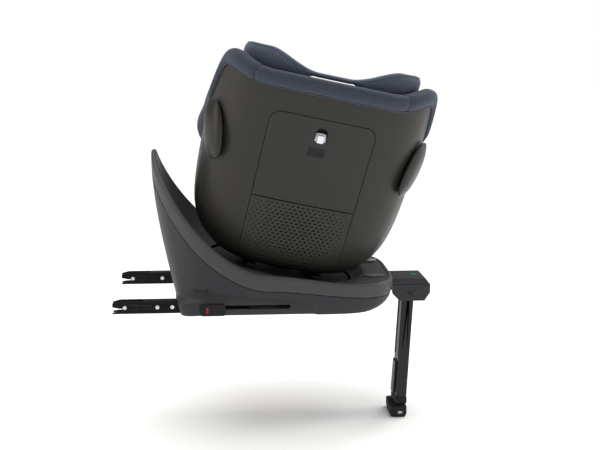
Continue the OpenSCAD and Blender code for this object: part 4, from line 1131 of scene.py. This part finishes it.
def make_base_hull():
    """Lower casing: columns over front, sides, corners and rear, with the slots and the arm openings left out."""
    front = np.linspace(0, 60, 26)
    xs = np.concatenate([np.linspace(100, SLOT_X, 16)[:-1], np.linspace(SLOT_X, REAR_X, 34)])
    corner = np.linspace(0, 1, 12)[1:-1]
    ys = np.concatenate([np.linspace(REAR_Y, DOOR_Y, 9)[:-1], np.linspace(DOOR_Y, -DOOR_Y, 34),
                         np.linspace(-DOOR_Y, -REAR_Y, 9)[1:]])
    groups = ((FRONT, front), (LEFT, xs), (LEFT_CORNER, corner), (REAR, ys), (RIGHT_CORNER, corner),
              (RIGHT, xs[::-1]), (FRONT, 360 - front[:0:-1]))
    kinds = np.concatenate([np.full(len(g), kind) for kind, g in groups])
    vals = np.concatenate([g for _, g in groups])
    rows = [(0, 6.0), (0.0, 2.2), (0.35, 0.8), (1.0, 0.15), (2.2, 0.0)]
    for z0, z1, n in ((2.2, 13.5, 7), (13.5, 22.5, 5), (22.5, 30, 7)):
        rows += [(z, 0) for z in np.linspace(z0, z1, n)[1:]]
    n_low = len(rows)
    shares = np.linspace(0, 1, 24)[1:]
    zs = np.array([r[0] for r in rows] + [30.0] * len(shares))[:, None]
    ins = np.array([r[1] for r in rows] + [0.0] * len(shares))[:, None]
    k = np.broadcast_to(kinds[None], (len(zs), len(kinds)))
    val = np.broadcast_to(vals[None], k.shape)
    flank = (k == LEFT) | (k == RIGHT)

    def angle(z):
        """Plan angle of every column at heights z."""
        q = np.where(k == FRONT, val, 0)
        q = np.where(flank, x_to_q(val, np.where(k == RIGHT, -1.0, 1.0), z) % 360, q)
        q = np.where(k == REAR, y_to_q(np.where(k == REAR, val, 0), z), q)
        q = np.where(k == LEFT_CORNER, mix(x_to_q(REAR_X, 1.0, z), y_to_q(REAR_Y, z), val), q)
        return np.where(k == RIGHT_CORNER, mix(y_to_q(-REAR_Y, z), x_to_q(REAR_X, -1.0, z) % 360, val), q)

    z = np.broadcast_to(zs, k.shape).copy()
    top = 60.0 + 0 * z
    for _ in range(12):
        top = mix(top, seam_z(angle(top)), 0.6)
    top = np.maximum(top - 0.5, 30.6)
    z[n_low:] = mix(30.0, top[n_low:], shares[:, None])
    # on the sides the rows gather at the ledge of the recess
    lo = n_low - 6
    ledge = recess_top(np.where(flank, val, np.where(k == FRONT, 100.0, -200.0)))
    u = np.concatenate([a + np.linspace(0, 1, n)[1:] for a, n in ((0, 7), (1, 4), (2, 21))])[:, None]
    under, over = ledge[lo:] - 1.6, ledge[lo:]
    upper = np.where(u <= 2, mix(under, over, u - 1), mix(over, top[lo:], u - 2))
    stepped = np.where(u <= 1, mix(22.5, under, u), upper)
    z[lo:] = np.where(flank[lo:], stepped, z[lo:])
    p = base_pt(angle(z), z, ins)
    x, y, up = p[..., 0], p[..., 1], p[..., 2]
    crease = np.where(flank, ledge, recess_top(x))
    depth = 7 * ss(58, 50, x - 0.5 * (30 - up)) * ss(crease, crease - 1.6, up) * ss(-206, -150, x)
    p[..., 1] -= np.sign(y) * depth * ss(100, 140, np.abs(y))
    groove = 0.9 * np.exp(-((x + 42) / 0.9) ** 2) * ss(23.4, 24.4, up) * ss(crease - 7, crease - 8, up)
    p[..., 1] -= np.sign(y) * groove
    ni, nj = z.shape
    i, j = np.meshgrid(np.arange(ni - 1), np.arange(nj), indexing="ij")
    ka, kb = kinds[j], kinds[(j + 1) % nj]
    va, vb = vals[j], vals[(j + 1) % nj]
    za, zb = zs[i, 0], zs[i + 1, 0]
    eps = 1e-3

    def between(z_range):
        return (za >= z_range[0] - eps) & (zb <= z_range[1] + eps) & (i < n_low - 1)

    slot = (ka == kb) & ((ka == LEFT) | (ka == RIGHT)) & between(SLOT_Z)
    slot &= (np.maximum(va, vb) <= SLOT_X + eps) & (np.minimum(va, vb) >= REAR_X + 6)
    door = (ka == REAR) & (kb == REAR) & (np.minimum(np.abs(va), np.abs(vb)) >= DOOR_Y - eps) & between(DOOR_Z)
    verts = np.concatenate([p.reshape(-1, 3), [[0.0, 0.0, 0.0]]])
    faces = [quads(ni, nj, wrap=True)[~(slot | door).ravel()], fan(np.arange(nj), ni * nj)]
    obj = new_mesh("base_hull", verts, faces, inside=(0, 0, 40), sharp=38)
    wall_thickness(obj, 2.6)
    place(obj, "base", "hull", ["base_lower_casing"])


def prism(name, o, z0, z1, bevel=0.8):
    """Rounded plate: an outline in x and y lifted from z0 to z1, its upper edge eased by bevel."""
    c = o.mean(0)
    rings = [pts(*(o - unit(o - c) * shrink).T, z) for shrink, z in (
        (0.0, z0), (0.0, mix(z0, z1, 0.5)), (0.0, z1 - bevel), (0.3 * bevel, z1 - 0.3 * bevel), (bevel, z1))]
    rings.append(pts(*(c + (o - c) * 0.5).T, z1))
    return tube_mesh(name, np.stack(rings), sharp=40)


def ellipse(cx, cy, a, b, n=64, power=2.0):
    """Outline of a superellipse with half axes a and b, as n points."""
    c, s = circle(n)
    r = super_r(c, s, power)
    return np.stack([cx + a * r * c, cy + b * r * s], -1)


def upright(o, *ys):
    """The same x and z outline at each distance y."""
    return np.stack([pts(o[:, 0], y, o[:, 1]) for y in ys])


def node_box(node):
    """Low corner, high corner, centre and half size of a node, in millimetres."""
    lo, hi = (np.array(v) * 1000 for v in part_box(node))
    return lo, hi, (lo + hi) / 2, (hi - lo) / 2


def ring_plate(name, outer, inner, z0, z1):
    """Flat ring between two outlines, with square edges."""
    loops = np.stack([pts(*outer.T, z0), pts(*outer.T, z1), pts(*inner.T, z1), pts(*inner.T, z0)])
    return tube_mesh(name, loops, ring=True, sharp=30)


def make_platform_parts():
    """Swivel button, marked control oval and its blank tick marks on the front platform."""
    lo, hi, c, half = node_box("control_panel")
    obj = prism("control_oval", ellipse(c[0], c[1], half[0], half[1]), lo[2], hi[2], 0.7)
    place(obj, "base", "hull", ["control_panel"])
    outer, inner = (ellipse(c[0], c[1], half[0] - inset, half[1] - inset) for inset in (3, 4.2))
    obj = ring_plate("control_ring", outer, inner, hi[2] - 0.2, hi[2] + 0.25)
    place(obj, "base", "grey")
    for n, (dx, a, b) in enumerate(((-9, 5.5, 3.6), (0, 1.6, 5.2), (9, 5.5, 3.6))):
        outer = ellipse(c[0] + dx, c[1], a, b, 24, 3.0)
        inner = ellipse(c[0] + dx, c[1], max(0.4, a - 1.1), max(0.4, b - 1.1), 24, 3.0)
        obj = ring_plate("control_mark_%d" % n, outer, inner, hi[2] - 0.2, hi[2] + 0.2)
        place(obj, "base", "grey")
    lo, hi, c, half = node_box("swivel_button")
    cs, sn = circle(72)
    rings = [pts(c[0] + half[0] * s * cs, c[1] + half[1] * s * sn, mix(lo[2], hi[2], share)) for s, share in (
        (0.0, 0.0), (0.9, 0.0), (1.0, 0.25), (1.0, 0.55), (0.985, 0.75), (0.94, 0.92), (0.86, 1.0), (0.7, 0.97),
        (0.45, 0.86), (0.2, 0.8), (0.0, 0.78))]
    obj = new_mesh("swivel_key", np.stack(rings).reshape(-1, 3), [quads(len(rings), 72, wrap=True)], merge=0.005,
                   inside=c, sharp=50)
    place(obj, "swivel_button", "grey", ["swivel_button"])


def box_piece(name, a, b):
    """Small block between two corners, its upright edges rounded."""
    c, half = (np.array(a) + np.array(b)) / 2, np.abs(np.array(b) - np.array(a)) / 2
    return tube_mesh(name, upright(ellipse(c[0], c[2], half[0], half[2], 24, 7.0), c[1] - half[1], c[1] + half[1]),
                     sharp=30)


ARM_Y = 140.0


def make_arm_details():
    """Pressed square embosses on the cheeks of each arm, and a red fleck frame on each grip."""
    for side, name in ((1, "left"), (-1, "right")):
        body = "latch_" + name
        for n, x in enumerate((-296.0, -270.0)):
            o, i = (ellipse(x, 15.6, r, r, 40, 8.0) for r in (4.9, 3.9))
            for face in (-1, 1):
                y0, y1 = (ARM_Y * side + face * out for out in (10.8, 11.45))
                loops = np.concatenate([upright(o, y0, y1), upright(i, y1, y0)])
                obj = tube_mesh("arm_emboss_%s_%d_%d" % (name, n, face > 0), loops, ring=True, sharp=30)
                place(obj, body, "dark_steel")
        mark = box_piece("release_mark_" + name, (-152.8, side * 183.1, 8.2), (-148.8, side * 183.75, 20.4))
        place(mark, "release_" + name, "red")
        for n, x in enumerate((-129.0, -126.0, -123.0)):
            y = side * (ARM_Y + 42.6)
            loops = upright(ellipse(x, 14.0, 0.6, 8.0, 20, 6.0), y - side * 0.3, y + side * 0.5)
            place(tube_mesh("grip_rib_%s_%d" % (name, n), loops, sharp=30), body, "black")


LEG_X, PIN_Z, LEG_LEAN = 284.0, 12.0, 3.4


def leg_pt(p):
    """Leg frame to row frame: a turn of LEG_LEAN about +Y at the hinge pin."""
    c, s = math.cos(math.radians(LEG_LEAN)), math.sin(math.radians(LEG_LEAN))
    return pts(LEG_X + p[..., 0] * c + p[..., 2] * s, p[..., 1], PIN_Z - p[..., 0] * s + p[..., 2] * c)


def leg_strip(name, x, y, z, mat, slot, ease=0.6, n=24):
    """Eased bar in the leg frame, its long axis up the leg; x, y and z are its ranges."""
    o = ellipse((x[0] + x[1]) / 2, (y[0] + y[1]) / 2, (x[1] - x[0]) / 2, (y[1] - y[0]) / 2, n, 6.0)
    rings = [pts(*(o - unit(o - o.mean(0)) * shrink).T, height) for shrink, height in (
        (ease, z[0]), (0.0, z[0] + ease), (0.0, z[1] - ease), (ease, z[1]))]
    return place(tube_mesh(name, leg_pt(np.stack(rings)), sharp=40), "leg", mat)


def make_leg_details():
    """Height rails on the leg with black strips on them as painted groove shade, a mark on the foot and bars under
    it.
    """
    black = ("black", "black_plastic")
    for n, y in enumerate((-21, 21)):
        leg_strip("leg_rail_%d" % n, (-13.1, -11.2), (y - 4.5, y + 4.5), (-150, -20), "hull", "base_plastic")
        # each groove is a black strip laid on its rail: painted shade of the groove
        leg_strip("leg_groove_shade_%d" % n, (-13.4, -12.0), (y - 1.2, y + 1.2), (-146, -26), *black, 0.3)
    for n, y in enumerate((-30.0, 30.0)):
        leg_strip("leg_side_line_%d" % n, (-6.5, -5.3), (y - 0.35, y + 0.35), (-236, -22), *black, 0.1, 12)
    lo = node_box("leg_foot")[0]
    loops = upright(ellipse(266.0, -255.5, 4.5, 2.6, 24, 5.0), lo[1] + 0.5, lo[1] - 0.5)
    obj = tube_mesh("foot_mark", loops, sharp=30)
    place(obj, "leg_extension", "grey")
    for n, dx in enumerate(np.linspace(-11, 11, 5)):
        obj = prism("sole_bar_%d" % n, ellipse(264 + dx, 0, 1.2, 30, 24, 6.0), -267.9, -266.5, 0.2)
        place(obj, "leg_extension", "rubber")


def make_shell_details():
    """Black plates low on the panel as painted shade of the release slots, and two raised mould lines round the
    chine.
    """
    for n, u in enumerate((-80.0, 80.0)):
        # each slot is a flat black plate on the shell: painted shade in place of the dark opening
        s, t = np.meshgrid(np.linspace(u - 5, u + 5, 9), np.linspace(8.5, 13.5, 7))
        obj = plate("shell_slot_shade_%d" % n, s, t, -0.25, 1.2, inside=panel_pt(u, 11.0, 0.4))
        place(obj, "shell", "black")
    cs, sn = circle(6)
    for n, (a, b, v0, v1) in enumerate(((-84.0, -37.0, 70.0, 58.0), (35.0, 72.0, 54.0, 64.0))):
        p = np.linspace(a, b, 40)[:, None]
        v = np.linspace(v0, v1, 40)[:, None] + 0.5 * sn
        loops = from_seat(wall_pt(p, v, 0.12 + 0.45 * cs + 0 * v))
        place(tube_mesh("mould_arc_%d" % n, loops, sharp=80), "shell", "pod")


NODE_FINISH = {
    "dark_steel": ["base_chassis", "latch_arm_left", "latch_arm_right"],
    "steel": ["bearing_ring_lower", "bearing_ring_upper", "swivel_axle", "swivel_nut", "latch_channel_left",
              "latch_channel_right", "base_screws", "latch_rivets_left", "latch_rivets_right",
              "latch_hook_left", "latch_hook_right"],
    "black": ["swivel_pedestal", "turntable_disc", "recline_guides", "shell_runners", "storage_tray", "pod_sockets",
              "harness_buckle", "adjuster_housing", "headrest_lever", "recline_handle", "latch_grip_left",
              "latch_grip_right", "leg_inner_tube", "leg_lever", "latch_release_left", "latch_release_right",
              "leg_hinge_pin"],
    "hull": ["leg_bracket_cover", "leg_bracket_housing"],
    "leg": ["leg_outer_tube"],
    "green": ["install_indicator"],
    "red": ["buckle_button"],
    "grey": ["adjuster_button"],
    "foam": ["foam_liner"],
    "rubber": ["leg_foot"],
    "silver_plastic": ["door_latch"],
}
EASED = {"leg_bracket_cover": 1.6, "leg_bracket_housing": 1.4, "leg_outer_tube": 1.4, "latch_arm_left": 0.5,
         "latch_arm_right": 0.5, "latch_grip_left": 0.9, "latch_grip_right": 0.9, "latch_release_left": 0.7,
         "latch_release_right": 0.7, "buckle_button": 1.0, "adjuster_button": 0.8, "harness_buckle": 1.6,
         "adjuster_housing": 1.0, "recline_handle": 1.4, "headrest_lever": 1.4, "leg_lever": 0.8, "leg_foot": 0.9,
         "recline_guides": 0.8, "latch_hook_left": 0.4, "latch_hook_right": 0.4}


def finish_nodes():
    """Gives every node that stays its finish, and eases the sharp edges of the moulded and pressed ones."""
    for mat, nodes in NODE_FINISH.items():
        for node in nodes:
            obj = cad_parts[node]
            if obj.material_slots:
                for s in obj.material_slots:
                    s.material = MATS[mat]
            else:
                obj.data.materials.append(MATS[mat])
            if node in EASED:
                modifier(obj, "WELD", merge_threshold=0.00002)
                modifier(obj, "BEVEL", width=EASED[node] * MM, segments=3, limit_method="ANGLE",
                         use_clamp_overlap=True, angle_limit=math.radians(38), harden_normals=False)


# ---------------------------------------------------------------- stage
def add_light(name, kind, energy, loc, target, size=1.0, size_y=None, colour=(1, 1, 1)):
    data = bpy.data.lights.new(name, kind)
    data.energy, data.color = energy, colour
    if kind == "AREA":
        data.shape = "RECTANGLE"
        data.size, data.size_y = size, size_y or size
    obj = bpy.data.objects.new(name, data)
    bpy.context.scene.collection.objects.link(obj)
    obj.location = loc
    obj.rotation_euler = (Vector(target) - Vector(loc)).to_track_quat("-Z", "Y").to_euler()
    return obj


def make_stage():
    """Pale floor, white surroundings, soft boxes and the camera."""
    scene = bpy.context.scene
    floor_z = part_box("leg_foot")[0][2] - 0.0003
    xy = np.array([[-12, -12], [12, -12], [12, 12], [-12, 12]], float)
    obj = new_mesh("floor", np.column_stack([xy, np.full(4, floor_z)]) / MM, [np.array([[0, 1, 2, 3]])])
    paper = Nodes("floor paper", Roughness=0.95, Base_Color=(0.96, 0.96, 0.96, 1), Specular_IOR_Level=0.0)
    obj.data.materials.append(paper.mat)
    world = bpy.data.worlds.new("studio")
    scene.world = world
    world.use_nodes = True
    tree = world.node_tree
    back = tree.nodes["Background"]
    back.inputs["Color"].default_value = (1, 1, 1, 1)
    path = tree.nodes.new("ShaderNodeLightPath")
    level = tree.nodes.new("ShaderNodeMapRange")
    level.inputs["To Min"].default_value, level.inputs["To Max"].default_value = 0.3, 1.0
    tree.links.new(path.outputs["Is Camera Ray"], level.inputs["Value"])
    tree.links.new(level.outputs[0], back.inputs["Strength"])
    sun = add_light("sky_sun", "SUN", 2.6, (0, 0, 3), (0.12, 0.1, 0))
    sun.data.angle = math.radians(70)
    warm = (1.0, 0.96, 0.9)
    add_light("left_box", "AREA", 15, (-1.9, -0.4, 0.9), (0, 0, 0.35), 0.7, 1.8, warm)
    add_light("right_box", "AREA", 12, (1.9, 0.2, 0.9), (0, 0, 0.35), 0.7, 1.8, warm)
    add_light("back_box", "AREA", 12, (1.5, 1.3, 1.5), (-0.15, 0, 0.15), 0.8, 0.8)
    add_light("low_box", "AREA", 5, (1.3, -1.5, 0.25), (0.2, -0.15, 0.06), 0.5, 0.5)
    add_light("front_box", "AREA", 3, (0.5, -2.6, 1.9), (0, 0, 0.1), 1.2, 0.8)
    cam = bpy.data.objects.new("camera", bpy.data.cameras.new("camera"))
    cam.data.lens, cam.data.sensor_width = 73.14, 36.0
    cam.data.clip_start, cam.data.clip_end = 0.05, 60
    cam.location = (-0.144, -2.578, 0.602)
    cam.rotation_euler = (math.radians(90 - 9.8), 0, math.radians(-4.3))
    scene.collection.objects.link(cam)
    scene.camera = cam
    scene.view_settings.view_transform = "Standard"
    scene.view_settings.look = "None"
    scene.view_settings.exposure = 0.0


# ---------------------------------------------------------------- operators
class SeatStep:
    """Operator that runs its makers in order."""
    makers = ()

    def execute(self, context):
        for make in self.makers:
            make()
        return {"FINISHED"}


class SEAT_OT_finishes(SeatStep, bpy.types.Operator):
    """Mix the materials and give them to the kept nodes"""
    bl_idname, bl_label = "seat.finishes", "Finishes"
    makers = (make_materials, finish_nodes)


class SEAT_OT_shell(SeatStep, bpy.types.Operator):
    """Build the shell, door, vent panel and side pods"""
    bl_idname, bl_label = "seat.shell", "Shell"
    makers = (make_shell, make_door, make_grille, make_pods, make_shell_details)


class SEAT_OT_covers(SeatStep, bpy.types.Operator):
    """Build the rim roll and the padded cushions"""
    bl_idname, bl_label = "seat.covers", "Covers"
    makers = (make_trim, make_pads)


class SEAT_OT_headrest(SeatStep, bpy.types.Operator):
    """Build the padded headrest"""
    bl_idname, bl_label = "seat.headrest", "Headrest"
    makers = (make_headrest,)


class SEAT_OT_harness(SeatStep, bpy.types.Operator):
    """Build the webbing and the shoulder pads"""
    bl_idname, bl_label = "seat.harness", "Harness"
    makers = (make_harness,)


class SEAT_OT_base(SeatStep, bpy.types.Operator):
    """Build the base casings and the controls on them"""
    bl_idname, bl_label = "seat.base", "Base"
    makers = (make_base_top, make_base_hull, make_platform_parts)


class SEAT_OT_arms_leg(SeatStep, bpy.types.Operator):
    """Add the pressed details of the arms and the leg"""
    bl_idname, bl_label = "seat.arms_leg", "Arms and leg"
    makers = (make_arm_details, make_leg_details)


class SEAT_OT_stage(SeatStep, bpy.types.Operator):
    """Set the floor, the lights and the camera"""
    bl_idname, bl_label = "seat.stage", "Stage"
    makers = (make_stage,)


class SeatSettings(bpy.types.PropertyGroup):
    """Sizes and colours that a user would change"""
    cover_colour: FloatVectorProperty(name="Cover", description="Colour of the fabric covers", subtype="COLOR",
                                      size=3, default=(0.029, 0.035, 0.049), min=0, max=1)
    roll_fill: FloatProperty(name="Roll fill", description="Fullness of the rim roll", default=0.7, min=0, max=1)


OPERATORS = (SEAT_OT_finishes, SEAT_OT_shell, SEAT_OT_covers, SEAT_OT_headrest, SEAT_OT_harness, SEAT_OT_base,
             SEAT_OT_arms_leg, SEAT_OT_stage)


class SEAT_PT_panel(bpy.types.Panel):
    """Buttons for each group of pieces"""
    bl_label = "Car seat"
    bl_idname = "SEAT_PT_panel"
    bl_space_type = "VIEW_3D"
    bl_region_type = "UI"
    bl_category = "Car seat"

    def draw(self, context):
        for prop in ("cover_colour", "roll_fill"):
            self.layout.prop(context.scene.seat_settings, prop)
        for op in OPERATORS:
            self.layout.operator(op.bl_idname)


def register():
    for cls in (SeatSettings, *OPERATORS, SEAT_PT_panel):
        bpy.utils.register_class(cls)
    bpy.types.Scene.seat_settings = bpy.props.PointerProperty(type=SeatSettings)


def unregister():
    del bpy.types.Scene.seat_settings
    for cls in reversed((SeatSettings, *OPERATORS, SEAT_PT_panel)):
        bpy.utils.unregister_class(cls)


def main():
    """Registers the tools and runs them in order."""
    register()
    for op in OPERATORS:
        getattr(bpy.ops.seat, op.bl_idname.split(".")[1])()


if __name__ == "__main__":
    main()
